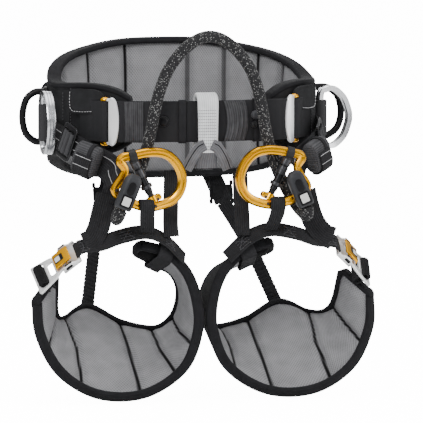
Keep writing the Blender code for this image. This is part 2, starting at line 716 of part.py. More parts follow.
def make_leg_buckle(end, side):
    silver = material("buckle_silver", SILVER, 0.3, 0.9)
    gold = material("anodised_gold", GOLD, 0.35, 0.8)
    steel = material("pin_steel", SILVER, 0.3, 0.95)
    black = material("webbing_black", BLACK, 0.75)
    origin, along, across, out = buckle_frame(side)

    def at(u, v, w):
        return origin + (along * u + across * v + out * w) / 1000

    def block(name, corners, finish):
        rings = [[at(u, v, w) for u, v, w in ring] for ring in corners]
        return loft(name, rings, finish)

    def profile(name, outline, half, finish):
        """A side outline of (u, w) points, carried across the buckle."""
        return block(name, [[(u, v, w) for u, w in outline] for v in (-half, half)], finish)

    rings = []
    for u, height in [(-10, 1.0), (-4, 1.0), (1, 4.8), (8, 4.8), (14, -1.0)]:
        outline = [(-14.9, -4.5), (14.9, -4.5), (14.9, height), (12.7, height)]
        outline += [(12.7, -2.9), (-12.7, -2.9), (-12.7, height), (-14.9, height)]
        rings.append([at(u, v, w) for v, w in outline])
    loft("buckle_body_" + end, rings, silver)
    pin = [at(4.5, v, 2.0) for v in (-12.4, 12.4)]
    rod("lever_pin_" + end, pin[0], pin[1], 0.0014, steel, 12)
    lever = [(-2.5, 4.2), (2.5, 4.2), (4.5, 3.8), (6.5, 4.2), (17.5, 3.6), (19.5, 1.4)]
    lever += [(19.5, 2.6), (17.5, 6.4), (4.5, 6.8), (-2.5, 6.0)]
    profile("buckle_lever_" + end, lever, 9.5, gold)
    outline = [(-16, 20), (-16, -20), (8, -16), (16, -11.8), (23, -11.0), (23, 11.0), (16, 11.8), (8, 16)]
    outline = [(u / 1000, v / 1000) for u, v in outline]
    place = place_at(at(33.0, 0, -1.0), -along, across)
    big = moved(rounded(0.0100, 0.0300, 0.0015), -0.0060, 0)
    small = moved(rounded(0.0070, 0.0180, 0.0015), 0.0070, 0)
    plate("buckle_tongue_" + end, outline, [big, small], 0.0028, place, silver)
    fold = []
    for u, w in [(41.2, -13.0), (41.2, -4.0), (41.2, 1.0)]:
        fold.append(at(u, 0, w))
    for i in range(1, 6):
        a = math.pi * i / 6
        fold.append(at(39.2 + 2.0 * math.cos(a), 0, 1.0 + 2.2 * math.sin(a)))
    for u, w in [(37.2, 1.0), (37.2, -4.0), (37.2, -13.0)]:
        fold.append(at(u, 0, w))
    rings = []
    for point, direction in zip(fold, tangents(fold)):
        outward = direction.cross(across).normalized()
        rings.append(box_section(point, across, outward, 0.0265, WEBBING_THICKNESS))
    loft("tongue_webbing_" + end, rings, black)


def main():
    clear_scene()
    make_belt()
    make_bridge()
    make_centre_loop()
    make_front_webbing()
    for end, side in (("left", -1), ("right", 1)):
        make_leg(side, end)
        make_waist_buckle(end, side)
        make_side(end, side)
        make_ring(end, side)
        make_sleeve(end, side)
        make_leg_straps(end, side)
        make_leg_buckle(end, side)


main()
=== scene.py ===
# %% [markdown]
# # A tree climbing saddle
# The saddle is a padded waist belt, two padded leg loops, two gated rings joined by a rope bridge, and the
# webbing and buckles that tie them together. The hard pieces that already look right keep the shape of the
# frame. Every soft piece is made here, over the place its plain solid holds.

import json
import math
import random

import bmesh
import bpy
from mathutils import Matrix, Vector

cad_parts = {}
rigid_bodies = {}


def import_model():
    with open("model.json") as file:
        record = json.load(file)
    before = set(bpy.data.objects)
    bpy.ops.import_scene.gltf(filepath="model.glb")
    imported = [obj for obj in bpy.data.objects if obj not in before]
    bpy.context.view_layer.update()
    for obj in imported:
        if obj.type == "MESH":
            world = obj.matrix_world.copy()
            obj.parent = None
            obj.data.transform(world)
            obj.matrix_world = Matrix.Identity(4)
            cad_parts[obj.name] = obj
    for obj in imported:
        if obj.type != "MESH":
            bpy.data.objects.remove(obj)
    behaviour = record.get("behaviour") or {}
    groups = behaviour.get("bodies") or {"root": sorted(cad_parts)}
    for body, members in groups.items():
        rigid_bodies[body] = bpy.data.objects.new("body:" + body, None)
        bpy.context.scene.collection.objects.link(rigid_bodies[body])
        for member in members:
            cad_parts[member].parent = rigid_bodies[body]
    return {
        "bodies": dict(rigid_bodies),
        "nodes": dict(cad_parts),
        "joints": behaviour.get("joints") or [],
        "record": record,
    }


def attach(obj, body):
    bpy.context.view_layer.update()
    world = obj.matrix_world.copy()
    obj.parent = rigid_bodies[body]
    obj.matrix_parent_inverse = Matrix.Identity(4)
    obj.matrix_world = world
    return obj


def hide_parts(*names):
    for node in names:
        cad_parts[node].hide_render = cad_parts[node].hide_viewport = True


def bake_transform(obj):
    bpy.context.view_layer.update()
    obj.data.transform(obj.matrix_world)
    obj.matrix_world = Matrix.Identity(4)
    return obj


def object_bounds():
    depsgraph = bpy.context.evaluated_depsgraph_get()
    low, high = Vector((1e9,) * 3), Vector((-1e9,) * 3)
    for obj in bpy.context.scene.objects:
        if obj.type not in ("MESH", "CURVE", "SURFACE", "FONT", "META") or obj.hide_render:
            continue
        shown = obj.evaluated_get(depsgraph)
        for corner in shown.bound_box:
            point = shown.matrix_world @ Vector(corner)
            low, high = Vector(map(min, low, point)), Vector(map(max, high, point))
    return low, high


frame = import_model()
cad_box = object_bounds()
random.seed(7)
UP = Vector((0, 0, 1))
FRONT = Vector((0, -1, 0))
SIDES = (("left", -1), ("right", 1))
print("frame pieces", len(frame["nodes"]))

# %% [markdown]
# ## Where things are
# The waist belt follows an ellipse. A place on it is an angle from the middle of the back, an offset outwards
# and a height, so webbing and buckles can be set on the belt without working out where it curves.

# %% The waist ellipse
HALF_WIDTH, HALF_DEPTH = 0.150, 0.105
BELT_END = 152
TOP_EDGE = [(0, 0.080), (20, 0.0785), (40, 0.0715), (57, 0.0635), (70, 0.0550), (92, 0.040),
            (128, 0.040), (141, 0.035), (152, 0.021)]
LOW_EDGE = [
    (0, -0.078), (40, -0.073), (70, -0.056), (92, -0.043), (128, -0.040), (141, -0.034), (152, -0.020)
]


def belt_out(angle, side=1):
    """The way out of the belt at an angle."""
    a = math.radians(angle)
    return Vector((side * math.sin(a) / HALF_WIDTH, math.cos(a) / HALF_DEPTH, 0)).normalized()


def on_belt(angle, offset, height, side=1):
    a = math.radians(angle)
    ring = Vector((side * HALF_WIDTH * math.sin(a), HALF_DEPTH * math.cos(a), height))
    return ring + belt_out(angle, side) * offset


def level(table, angle):
    """A height from a table of angles, joined smoothly."""
    for i, ((a, low), (b, high)) in enumerate(zip(table, table[1:])):
        if angle <= b:
            before, after = table[max(i - 1, 0)], table[min(i + 2, len(table) - 1)]
            start = (high - before[1]) / (b - before[0]) * (b - a) if i else 0
            end = (after[1] - low) / (after[0] - a) * (b - a)
            t, rise = (angle - a) / (b - a), high - low
            return low + t * (start + t * (3 * rise - 2 * start - end + t * (start + end - 2 * rise)))
    return table[-1][1]


print("belt front", tuple(round(c, 3) for c in on_belt(180, 0, 0)))

# %% Smooth lines through a few points


def on_curve(points, u):
    """A point on the smooth curve through points, with u from 0 to the last index."""
    last = len(points) - 1
    i = min(int(u), last - 1)
    t = u - i
    p1, p2 = Vector(points[i]), Vector(points[i + 1])
    p0 = Vector(points[i - 1]) if i > 0 else 2 * p1 - p2
    p3 = Vector(points[i + 2]) if i + 2 <= last else 2 * p2 - p1
    bend = (2 * p0 - 5 * p1 + 4 * p2 - p3) * t * t + (3 * p1 - p0 - 3 * p2 + p3) * t**3
    return (2 * p1 + (p2 - p0) * t + bend) / 2


def curve(points, steps):
    last = len(points) - 1
    return [on_curve(points, last * i / steps) for i in range(steps + 1)]


def loop_curve(points, steps):
    around = [points[-1], *points, points[0], points[1]]
    return [on_curve(around, 1 + len(points) * i / steps) for i in range(steps)]


def even(path, step):
    """The same line with its points about one step apart."""
    lengths = running_length(path)
    count = max(2, round(lengths[-1] / step))
    found, k = [], 0
    for i in range(count + 1):
        want = lengths[-1] * i / count
        while k < len(path) - 2 and lengths[k + 1] < want:
            k += 1
        span = lengths[k + 1] - lengths[k] or 1.0
        found.append(path[k].lerp(path[k + 1], min(1.0, (want - lengths[k]) / span)))
    return found


def running_length(path):
    lengths = [0.0]
    for a, b in zip(path, path[1:]):
        lengths.append(lengths[-1] + (b - a).length)
    return lengths


def directions(path, closed=False):
    count = len(path)
    found = []
    for i in range(count):
        before = path[i - 1] if closed or i > 0 else path[0]
        after = path[(i + 1) % count] if closed or i < count - 1 else path[-1]
        found.append((after - before).normalized())
    return found


def flip(points, side):
    return [Vector((side * p[0], p[1], p[2])) for p in points]


# %% [markdown]
# ## Finishes
# Every finish is built from nodes. Cloth and webbing read the UV map of their piece, which is measured in
# metres along and across it, so the weave keeps its real size and follows each bend. Metal and plastic read
# Object coordinates. The effects that several finishes share are node groups, so they are built once.

# %% Small helpers for nodes


def add_node(tree, kind, inputs=None, **settings):
    made = tree.nodes.new(kind)
    for key, value in settings.items():
        setattr(made, key, value)
    for key, value in (inputs or {}).items():
        if isinstance(value, bpy.types.NodeSocket):
            tree.links.new(value, made.inputs[key])
        else:
            made.inputs[key].default_value = value
    return made


def maths(tree, operation, *values):
    return add_node(tree, "ShaderNodeMath", dict(enumerate(values)), operation=operation).outputs[0]


def blend_colors(tree, share, first, second):
    inputs = {"Factor": share, "A": first, "B": second}
    made = tree.nodes.new("ShaderNodeMix")
    made.data_type = "RGBA"
    sockets = {"Factor": made.inputs[0], "A": made.inputs[6], "B": made.inputs[7]}
    for key, value in inputs.items():
        if isinstance(value, bpy.types.NodeSocket):
            tree.links.new(value, sockets[key])
        else:
            sockets[key].default_value = value
    return made.outputs[2]


def new_group(name, inputs, outputs):
    """A shader node group with its input and output nodes."""
    tree = bpy.data.node_groups.new(name, "ShaderNodeTree")
    for label, kind, value in inputs:
        socket = tree.interface.new_socket(label, in_out="INPUT", socket_type="NodeSocket" + kind)
        if value is not None:
            socket.default_value = value
    for label in outputs:
        tree.interface.new_socket(label, in_out="OUTPUT", socket_type="NodeSocketFloat")
    return tree, tree.nodes.new("NodeGroupInput").outputs, tree.nodes.new("NodeGroupOutput").inputs


def new_finish(name, metallic=0.0, sheen=0.0, coat=0.0):
    made = bpy.data.materials.new(name)
    made.use_nodes = True
    shader = made.node_tree.nodes["Principled BSDF"]
    shader.inputs["Metallic"].default_value = metallic
    shader.inputs["Sheen Weight"].default_value = sheen
    shader.inputs["Sheen Roughness"].default_value = 0.5
    shader.inputs["Coat Weight"].default_value = coat
    shader.inputs["Specular IOR Level"].default_value = 0.5 if metallic or coat else 0.14
    return made, made.node_tree, shader


def use_group(tree, group, inputs):
    made = add_node(tree, "ShaderNodeGroup", node_tree=group)
    for key, value in inputs.items():
        if isinstance(value, bpy.types.NodeSocket):
            tree.links.new(value, made.inputs[key])
        else:
            made.inputs[key].default_value = value
    return made.outputs


def rgb(red, green, blue):
    return (red, green, blue, 1.0)


# %% [markdown]
# ### Shared effects
# Webbing shows lengthwise ribs crossed by fine threads. The padding's cloth is an open mesh with a diagonal
# weave. Metal and plastic only need a fine grain and brighter edges where hands and ropes have rubbed.

# %% Ribbed webbing
ribbed, given, result = new_group(
    "Ribbed webbing",
    [("Place", "Vector", None), ("Rib", "Float", 0.0022), ("Thread", "Float", 0.0011)],
    ["Height", "Shade"],
)
parts = add_node(ribbed, "ShaderNodeSeparateXYZ", {0: given["Place"]}).outputs
rib = maths(ribbed, "PINGPONG", maths(ribbed, "DIVIDE", parts[1], given["Rib"]), 0.5)
row = maths(ribbed, "FLOOR", maths(ribbed, "DIVIDE", parts[1], given["Rib"]))
shifted = maths(
    ribbed, "ADD", maths(ribbed, "DIVIDE", parts[0], given["Thread"]), maths(ribbed, "MULTIPLY", row, 0.5)
)
thread = maths(ribbed, "PINGPONG", shifted, 0.5)
height = maths(ribbed, "MULTIPLY_ADD", thread, 0.7, maths(ribbed, "MULTIPLY", rib, 1.6))
ribbed.links.new(height, result["Height"])
fuzz = add_node(ribbed, "ShaderNodeTexNoise", {"Vector": given["Place"], "Scale": 90.0, "Detail": 3.0})
shade = maths(ribbed, "MULTIPLY_ADD", height, 0.55, maths(ribbed, "MULTIPLY", fuzz.outputs[0], 0.7))
ribbed.links.new(shade, result["Shade"])
print("group", ribbed.name)

# %% Open mesh cloth
mesh_cloth, given, result = new_group(
    "Open mesh cloth", [("Place", "Vector", None), ("Pitch", "Float", 0.0024)], ["Height", "Shade"]
)
parts = add_node(mesh_cloth, "ShaderNodeSeparateXYZ", {0: given["Place"]}).outputs
waves = []
for turn in (0.62, -0.62):
    run = maths(mesh_cloth, "MULTIPLY_ADD", parts[1], turn, parts[0])
    waves.append(maths(mesh_cloth, "PINGPONG", maths(mesh_cloth, "DIVIDE", run, given["Pitch"]), 0.5))
strand = maths(mesh_cloth, "MAXIMUM", waves[0], maths(mesh_cloth, "MULTIPLY", waves[1], 0.8))
mesh_cloth.links.new(strand, result["Height"])
drift = add_node(mesh_cloth, "ShaderNodeTexNoise", {"Vector": given["Place"], "Scale": 45.0, "Detail": 4.0})
shade = maths(mesh_cloth, "MULTIPLY_ADD", strand, 1.1, maths(mesh_cloth, "MULTIPLY", drift.outputs[0], 0.5))
mesh_cloth.links.new(shade, result["Shade"])
print("group", mesh_cloth.name)

# %% Grain and rubbed edges
worn, given, result = new_group(
    "Grain and wear",
    [("Place", "Vector", None), ("Scale", "Float", 900.0), ("Wear", "Float", 1.0)],
    ["Height", "Grain", "Edge"],
)
fine = add_node(
    worn, "ShaderNodeTexNoise", {"Vector": given["Place"], "Scale": given["Scale"], "Detail": 3.0}
)
broad = add_node(worn, "ShaderNodeTexNoise", {"Vector": given["Place"], "Scale": 60.0, "Detail": 5.0})
worn.links.new(fine.outputs[0], result["Height"])
grain = maths(worn, "MULTIPLY_ADD", broad.outputs[0], 0.7, maths(worn, "MULTIPLY", fine.outputs[0], 0.3))
worn.links.new(grain, result["Grain"])
geometry = worn.nodes.new("ShaderNodeNewGeometry")
ridge = add_node(worn, "ShaderNodeMapRange", {0: geometry.outputs["Pointiness"], 1: 0.52, 2: 0.62})
patchy = maths(worn, "MULTIPLY", ridge.outputs[0], maths(worn, "MULTIPLY", broad.outputs[0], 1.5))
edge = add_node(worn, "ShaderNodeClamp", {0: maths(worn, "MULTIPLY", patchy, given["Wear"])}).outputs[0]
worn.links.new(edge, result["Edge"])
print("group", worn.name)

# %% [markdown]
# ### Cloth and webbing finishes
# A dark strap is never plain black: its ribs catch the light and its hollows stay dark. So each finish
# mixes a dark and a lighter colour by the weave's shade, roughens the light and adds a little sheen for
# loose fibres.

# %% Cloth and webbing finishes


def cloth_finish(name, dark, light, group, sizes, bump, roughness=0.85, sheen=0.01, channel_shade_and_dark_end=None):
    """A woven finish. A near-black colour is mixed in by the piece's own attribute: painted shade along a
    pad's stitched channels, and the real dark of its bare ends.
    """
    made, tree, shader = new_finish(name, sheen=sheen)
    place = tree.nodes.new("ShaderNodeUVMap").outputs[0]
    weave = use_group(tree, group, {"Place": place, **sizes})
    color = blend_colors(tree, weave["Shade"], rgb(*dark), rgb(*light))
    if channel_shade_and_dark_end:
        # This mask paints near-black shade into a pad's channel creases and marks the real dark of bare pad
        # ends.
        mask = add_node(tree, "ShaderNodeAttribute", attribute_name="channel_shade_and_dark_end").outputs["Fac"]
        mask = add_node(tree, "ShaderNodeMapRange", {0: mask, 1: 0.30, 2: 0.72}).outputs[0]
        color = blend_colors(tree, mask, color, rgb(*channel_shade_and_dark_end))
    tree.links.new(color, shader.inputs["Base Color"])
    shader.inputs["Roughness"].default_value = roughness
    bumped = add_node(tree, "ShaderNodeBump", {"Height": weave["Height"], "Distance": bump, "Strength": 1.0})
    tree.links.new(bumped.outputs[0], shader.inputs["Normal"])
    return made


WEBBING_SIZES = {"Rib": 0.0024, "Thread": 0.0012}
TAPE_SIZES = {"Rib": 0.0011, "Thread": 0.0009}
black_webbing = cloth_finish(
    "Black webbing", (0.0012, 0.0012, 0.0014), (0.022, 0.022, 0.024), ribbed, WEBBING_SIZES, 0.0004
)
edge_tape = cloth_finish(
    "Edge tape", (0.0018, 0.0018, 0.0020), (0.014, 0.014, 0.016), ribbed, TAPE_SIZES, 0.0002
)
# The same black webbing with a much lighter rib colour: painted highlights on the gathered folds, the slide
# loops and the rolled tails.
highlit_gathered_webbing = cloth_finish(
    "Gathered webbing with painted highlights", (0.001, 0.001, 0.0012), (0.075, 0.075, 0.080), ribbed, WEBBING_SIZES, 0.0005
)
elastic_cloth = cloth_finish(
    "Gathered elastic", (0.001, 0.001, 0.0012), (0.018, 0.018, 0.020), ribbed, TAPE_SIZES, 0.0003
)
shell_cloth = cloth_finish(
    "Outer cloth", (0.0035, 0.0035, 0.004), (0.020, 0.0205, 0.022), ribbed, {
        "Rib": 0.0008, "Thread": 0.0008
    }, 0.0001
)
# Its near-black third colour is painted shade in the stitched channels, and the real dark of bare pad ends.
pad_mesh = cloth_finish(
    "Padding mesh", (0.055, 0.055, 0.058), (0.29, 0.29, 0.30), mesh_cloth, {"Pitch": 0.0026}, 0.0004,
    channel_shade_and_dark_end=(0.0015, 0.0015, 0.0018),
)
loop_textile = cloth_finish(
    "Loop textile", (0.30, 0.31, 0.32), (0.74, 0.75, 0.76), ribbed, WEBBING_SIZES, 0.0003
)
base_textile = cloth_finish(
    "Stitched base", (0.045, 0.046, 0.050), (0.15, 0.15, 0.16), ribbed, WEBBING_SIZES, 0.0003
)
grey_tab = cloth_finish(
    "Grey tab", (0.010, 0.010, 0.011), (0.040, 0.040, 0.042), ribbed, WEBBING_SIZES, 0.0003
)

# %% The rope's sheath
bridge_sheath, tree, shader = new_finish("Rope sheath", sheen=0.04)
place = tree.nodes.new("ShaderNodeUVMap").outputs[0]
parts = add_node(tree, "ShaderNodeSeparateXYZ", {0: place}).outputs
strands = []
for turn in (1.0, -1.0):
    run = maths(tree, "MULTIPLY_ADD", parts[1], turn, parts[0])
    strands.append(maths(tree, "PINGPONG", maths(tree, "DIVIDE", run, 0.0034), 0.5))
braid = maths(tree, "MAXIMUM", strands[0], strands[1])
cells = add_node(tree, "ShaderNodeTexVoronoi", {"Vector": place, "Scale": 820.0})
fleck = add_node(tree, "ShaderNodeMapRange", {0: cells.outputs["Distance"], 1: 0.52, 2: 0.34})
picked = add_node(tree, "ShaderNodeSeparateColor", {0: cells.outputs["Color"]})
fleck = maths(tree, "MULTIPLY", fleck.outputs[0], maths(tree, "GREATER_THAN", picked.outputs[0], 0.74))
# The braid's raised strands are painted lighter than the hollows between them: painted highlight and shade.
# The pale flecks are the tracer yarns.
dark = blend_colors(tree, braid, rgb(0.001, 0.001, 0.0012), rgb(0.045, 0.045, 0.048))
tree.links.new(blend_colors(tree, fleck, dark, rgb(0.24, 0.24, 0.235)), shader.inputs["Base Color"])
shader.inputs["Roughness"].default_value = 0.8
bumped = add_node(tree, "ShaderNodeBump", {"Height": braid, "Distance": 0.0005})
tree.links.new(bumped.outputs[0], shader.inputs["Normal"])

# %% [markdown]
# ### Metal and plastic finishes
# Anodised aluminium is a satin colour. Its edges are paler where the colour has been rubbed off. Moulded
# plastic is the same build without the metal.

# %% Metal and plastic finishes


def hard_finish(name, color, rubbed, roughness, metallic=0.0, coat=0.0, bump=0.00004, wear=1.0, scale=900.0):
    made, tree, shader = new_finish(name, metallic, 0.0, coat)
    place = tree.nodes.new("ShaderNodeTexCoord").outputs["Object"]
    grain = use_group(tree, worn, {"Place": place, "Scale": scale, "Wear": wear})
    darker = tuple(0.78 * c for c in color)
    base = blend_colors(tree, grain["Grain"], rgb(*darker), rgb(*[min(1.0, 1.16 * c) for c in color]))
    tree.links.new(blend_colors(tree, grain["Edge"], base, rgb(*rubbed)), shader.inputs["Base Color"])
    rough = maths(tree, "MULTIPLY_ADD", grain["Grain"], 0.16, roughness - 0.08)
    tree.links.new(rough, shader.inputs["Roughness"])
    bumped = add_node(tree, "ShaderNodeBump", {"Height": grain["Height"], "Distance": bump})
    tree.links.new(bumped.outputs[0], shader.inputs["Normal"])
    return made


silver_alloy = hard_finish("Silver alloy", (0.90, 0.91, 0.92), (0.98, 0.98, 0.98), 0.30, 0.60, wear=0.6)
polished_ring = hard_finish("Polished alloy", (0.60, 0.61, 0.63), (0.80, 0.81, 0.82), 0.24, 1.0, wear=0.2)
gold_alloy = hard_finish("Gold anodised alloy", (0.96, 0.42, 0.0), (1.0, 0.52, 0.004), 0.24, 1.0, wear=0.3)
black_alloy = hard_finish(
    "Black anodised alloy", (0.008, 0.008, 0.009), (0.12, 0.12, 0.13), 0.28, 0.6, wear=0.8
)
steel = hard_finish("Pin steel", (0.50, 0.50, 0.50), (0.75, 0.75, 0.75), 0.26, 1.0)
sleeve_plastic = hard_finish(
    "Sleeve plastic", (0.024, 0.025, 0.028), (0.09, 0.09, 0.095), 0.38, bump=0.0001, scale=1600.0
)
lock_plastic = hard_finish(
    "Lock plastic", (0.004, 0.004, 0.005), (0.04, 0.04, 0.04), 0.34, bump=0.0001, scale=1600.0
)
gear_rubber = hard_finish(
    "Gear tube", (0.004, 0.004, 0.005), (0.03, 0.03, 0.03), 0.36, bump=0.00008, scale=1600.0
)
blank_label = hard_finish("Blank label", (0.60, 0.60, 0.59), (0.7, 0.7, 0.7), 0.5, wear=0.0)
pale_thread = hard_finish("Pale thread", (0.42, 0.42, 0.43), (0.5, 0.5, 0.5), 0.8, wear=0.0)
grey_thread = hard_finish("Grey thread", (0.06, 0.06, 0.065), (0.1, 0.1, 0.1), 0.85, wear=0.0)
print("finishes", len(bpy.data.materials))

# %% [markdown]
# ## Making pieces
# Almost everything here is a section carried along a line. One face is drawn as the first section and
# extruded section by section. The UV map is written at the same time: metres along, metres across.

# %% Finished pieces


def finish_piece(name, bm, finish, body, stands_for=(), sharp=40, levels=0, clean=True):
    """An object from a bmesh, at the origin, riding on its body."""
    if clean:
        bmesh.ops.recalc_face_normals(bm, faces=bm.faces[:])
    mesh = bpy.data.meshes.new(name)
    bm.to_mesh(mesh)
    bm.free()
    mesh.shade_smooth()
    if sharp:
        mesh.set_sharp_from_angle(angle=math.radians(sharp))
    obj = bpy.data.objects.new(name, mesh)
    bpy.context.collection.objects.link(obj)
    mesh.materials.append(finish)
    if levels:
        softened = obj.modifiers.new("Smooth", "SUBSURF")
        softened.levels = softened.render_levels = levels
    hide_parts(*stands_for)
    if body:
        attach(obj, body)
    return obj


def skin(rings, lengths, across, closed=False):
    """A bmesh through rings of points: one face, extruded from each ring to the next."""
    bm = bmesh.new()
    uv = bm.loops.layers.uv.new("UVMap")
    count = len(rings[0])
    start = bmesh.ops.create_circle(bm, cap_ends=True, segments=count, radius=1.0)["verts"]
    bm.faces.ensure_lookup_table()
    face = bm.faces[0]
    first_cap = face
    places = {}
    for k, vertex in enumerate(face.verts):
        vertex.co = rings[0][k]
        places[vertex] = (0, k)
    for i, ring in enumerate(rings[1:] + (rings[:1] if closed else []), 1):
        made = bmesh.ops.extrude_face_region(bm, geom=[face])["geom"]
        if i > 1:
            bm.faces.remove(face)
        face = next(item for item in made if isinstance(item, bmesh.types.BMFace))
        for k, vertex in enumerate(face.verts):
            vertex.co = ring[k]
            places[vertex] = (i, k)
    for side in bm.faces:
        wraps = {places[v][1] for v in side.verts} == {0, count - 1}
        for loop in side.loops:
            i, k = places[loop.vert]
            loop[uv].uv = (lengths[i], across[count if wraps and k == 0 else k])
    if closed:
        bmesh.ops.delete(bm, geom=[first_cap, face], context="FACES_ONLY")
        bmesh.ops.remove_doubles(bm, verts=bm.verts[:], dist=1e-6)
    return bm


def flat_outline(width, depth, rounding=0.45, steps=1):
    """A strap's section: (across, through) pairs with rounded corners."""
    radius = min(width, depth) * rounding
    w, d = width / 2 - radius, depth / 2 - radius
    outline = []
    for k, (x, y) in enumerate([(w, d), (-w, d), (-w, -d), (w, -d)]):
        for s in range(steps + 1):
            a = math.radians(90 * (k + s / steps))
            outline.append((x + radius * math.cos(a), y + radius * math.sin(a)))
    return outline


def framed(path, facing, closed=False):
    """For each point: the point, the way across and the way through."""
    found = []
    for i, (point, along) in enumerate(zip(path, directions(path, closed))):
        face = facing[i] if isinstance(facing, list) else facing
        across = along.cross(face).normalized()
        found.append((point, across, across.cross(along).normalized()))
    return found


def sweep(path, facing, outline, closed=False, scale=None):
    """Carries an outline of (across, through) pairs along a path."""
    rings = []
    for i, (point, across, through) in enumerate(framed(path, facing, closed)):
        wide, deep = scale[i] if scale else (1, 1)
        rings.append([point + across * (x * wide) + through * (y * deep) for x, y in outline])
    lengths = running_length(list(path) + ([path[0]] if closed else []))
    return skin(rings, lengths, [x for x, _ in outline] + [outline[0][0]], closed)


def round_bar(path, facing, radius, sides=12, closed=False, scale=None, second=None):
    """Like sweep, for a round section whose pattern runs round it."""
    turns = [math.tau * k / sides for k in range(sides)]
    rings = []
    for i, (point, across, through) in enumerate(framed(path, facing, closed)):
        size = scale[i] if scale else 1
        x, y = radius * size, (second or radius) * size
        rings.append([point + across * (x * math.cos(a)) + through * (y * math.sin(a)) for a in turns])
    lengths = running_length(list(path) + ([path[0]] if closed else []))
    return skin(rings, lengths, [radius * a for a in turns] + [radius * math.tau], closed)


def strap(
    name, path, facing, width, body, stands_for=(), thickness=0.0018, finish=black_webbing,
    step=0.003
):
    """Webbing along a path, its points spaced evenly."""
    if isinstance(facing, list):
        path, facing = list(path), list(facing)
    else:
        path = even(list(path), step)
    return finish_piece(
        name, sweep(path, facing, flat_outline(width, thickness)), finish, body, stands_for
    )


def stitch_row(bm, path, facing, pitch=0.0034, length=0.0021, width=0.0006, height=0.0005):
    """Stitches along a line, each a small rounded bar lying on the cloth."""
    for point, across, through in framed(even(list(path), pitch), facing)[:-1]:
        made = bmesh.ops.create_cube(bm, size=1.0)["verts"]
        along = through.cross(across)
        turned = Matrix((along * length, across * width, through * height)).transposed().to_4x4()
        turned.translation = point
        bmesh.ops.transform(bm, matrix=turned, verts=made)


print("ready to model")

# %% [markdown]
# ## Padded panels
# The belt and both leg loops are built alike: an outer shell, foam inside an open grey mesh, and a folded
# tape round the edge. Rows of stitching press the foam down in channels. Each pad starts as a thin slab
# of quads whose channel rows are pinned; cloth pressure then fills the cloth between them, as foam does.

# %% The two kinds of panel
LEG_STATIONS = [
    ((0.194, -0.104, -0.192), (0.165, -0.078, -0.163)),
    ((0.191, -0.112, -0.232), (0.161, -0.052, -0.212)),
    ((0.168, -0.118, -0.275), (0.142, -0.020, -0.223)),
    ((0.123, -0.120, -0.302), (0.110, -0.002, -0.214)),
    ((0.068, -0.119, -0.302), (0.072, -0.004, -0.233)),
    ((0.022, -0.117, -0.274), (0.033, -0.012, -0.240)),
    ((0.0035, -0.114, -0.232), (0.013, -0.032, -0.222)),
    ((0.0045, -0.112, -0.195), (0.0095, -0.050, -0.190)),
    ((0.017, -0.112, -0.162), (0.022, -0.060, -0.166)),
    ((0.042, -0.113, -0.138), (0.048, -0.074, -0.153)),
    ((0.076, -0.112, -0.127), (0.079, -0.092, -0.138)),
]
LEG_CENTRE = Vector((0.0985, -0.060, -0.205))


def belt_edges(s):
    """Low edge, high edge and the way in to the wearer, for s from 0 to 1 along the belt."""
    angle = -BELT_END + 2 * BELT_END * s
    low = on_belt(angle, 0, level(LOW_EDGE, abs(angle)))
    high = on_belt(angle, 0, level(TOP_EDGE, abs(angle)))
    return low, high, -belt_out(angle)


def leg_edges(side):
    def edges(s):
        last = len(LEG_STATIONS) - 1
        found = []
        for u in (s * last, max(0.0, s * last - 0.15), min(last, s * last + 0.15)):
            found.append([on_curve([pair[k] for pair in LEG_STATIONS], u) for k in (0, 1)])
        (low, high), (low_a, high_a), (low_b, high_b) = found
        inward = (low_b + high_b - low_a - high_a).cross(high - low).normalized()
        if inward.dot(LEG_CENTRE - (low + high) / 2) < 0:
            inward = -inward
        return [Vector((side * p.x, p.y, p.z)) for p in (low, high, inward)]

    return edges


def panel_length(edges):
    middle = [(low + high) / 2 for low, high, _ in (edges(i / 60) for i in range(61))]
    return running_length(middle)[-1]


print(
    "belt length", round(panel_length(belt_edges), 3), "leg loop length",
    round(panel_length(leg_edges(1)), 3)
)

# %% A slab of quads between two edges


def slab(edges, inset, depth_at, along, across, margin=0.0):
    """A closed slab; depth_at(s, t, layer) is how far in a point lies, with t from -1 (low edge) to 1."""
    bm = bmesh.new()
    bmesh.ops.create_grid(bm, x_segments=along, y_segments=across, size=1.0)
    raised = bmesh.ops.extrude_face_region(bm, geom=bm.faces[:])["geom"]
    raised = [item for item in raised if isinstance(item, bmesh.types.BMVert)]
    bmesh.ops.translate(bm, vec=UP, verts=raised)
    uv = bm.loops.layers.uv.new("UVMap")
    length = panel_length(edges)
    for face in bm.faces:
        for loop in face.loops:
            s, t = (loop.vert.co.x + 1) / 2, loop.vert.co.y
            low, high, _ = edges(s)
            loop[uv].uv = (s * length, t * (high - low).length / 2)
    grid = {}
    for index, vertex in enumerate(bm.verts):
        s, t, layer = margin + (1 - 2 * margin) * (vertex.co.x + 1) / 2, vertex.co.y, round(vertex.co.z)
        grid[index] = (s, t, layer)
        low, high, inward = edges(s)
        half = (high - low).length / 2 - inset
        vertex.co = (low + high) / 2 + (high - low).normalized() * (half * t) + inward * depth_at(s, t, layer)
    return bm, grid


PAD_PRESSURE, SETTLE_FRAMES = 4.0, 20


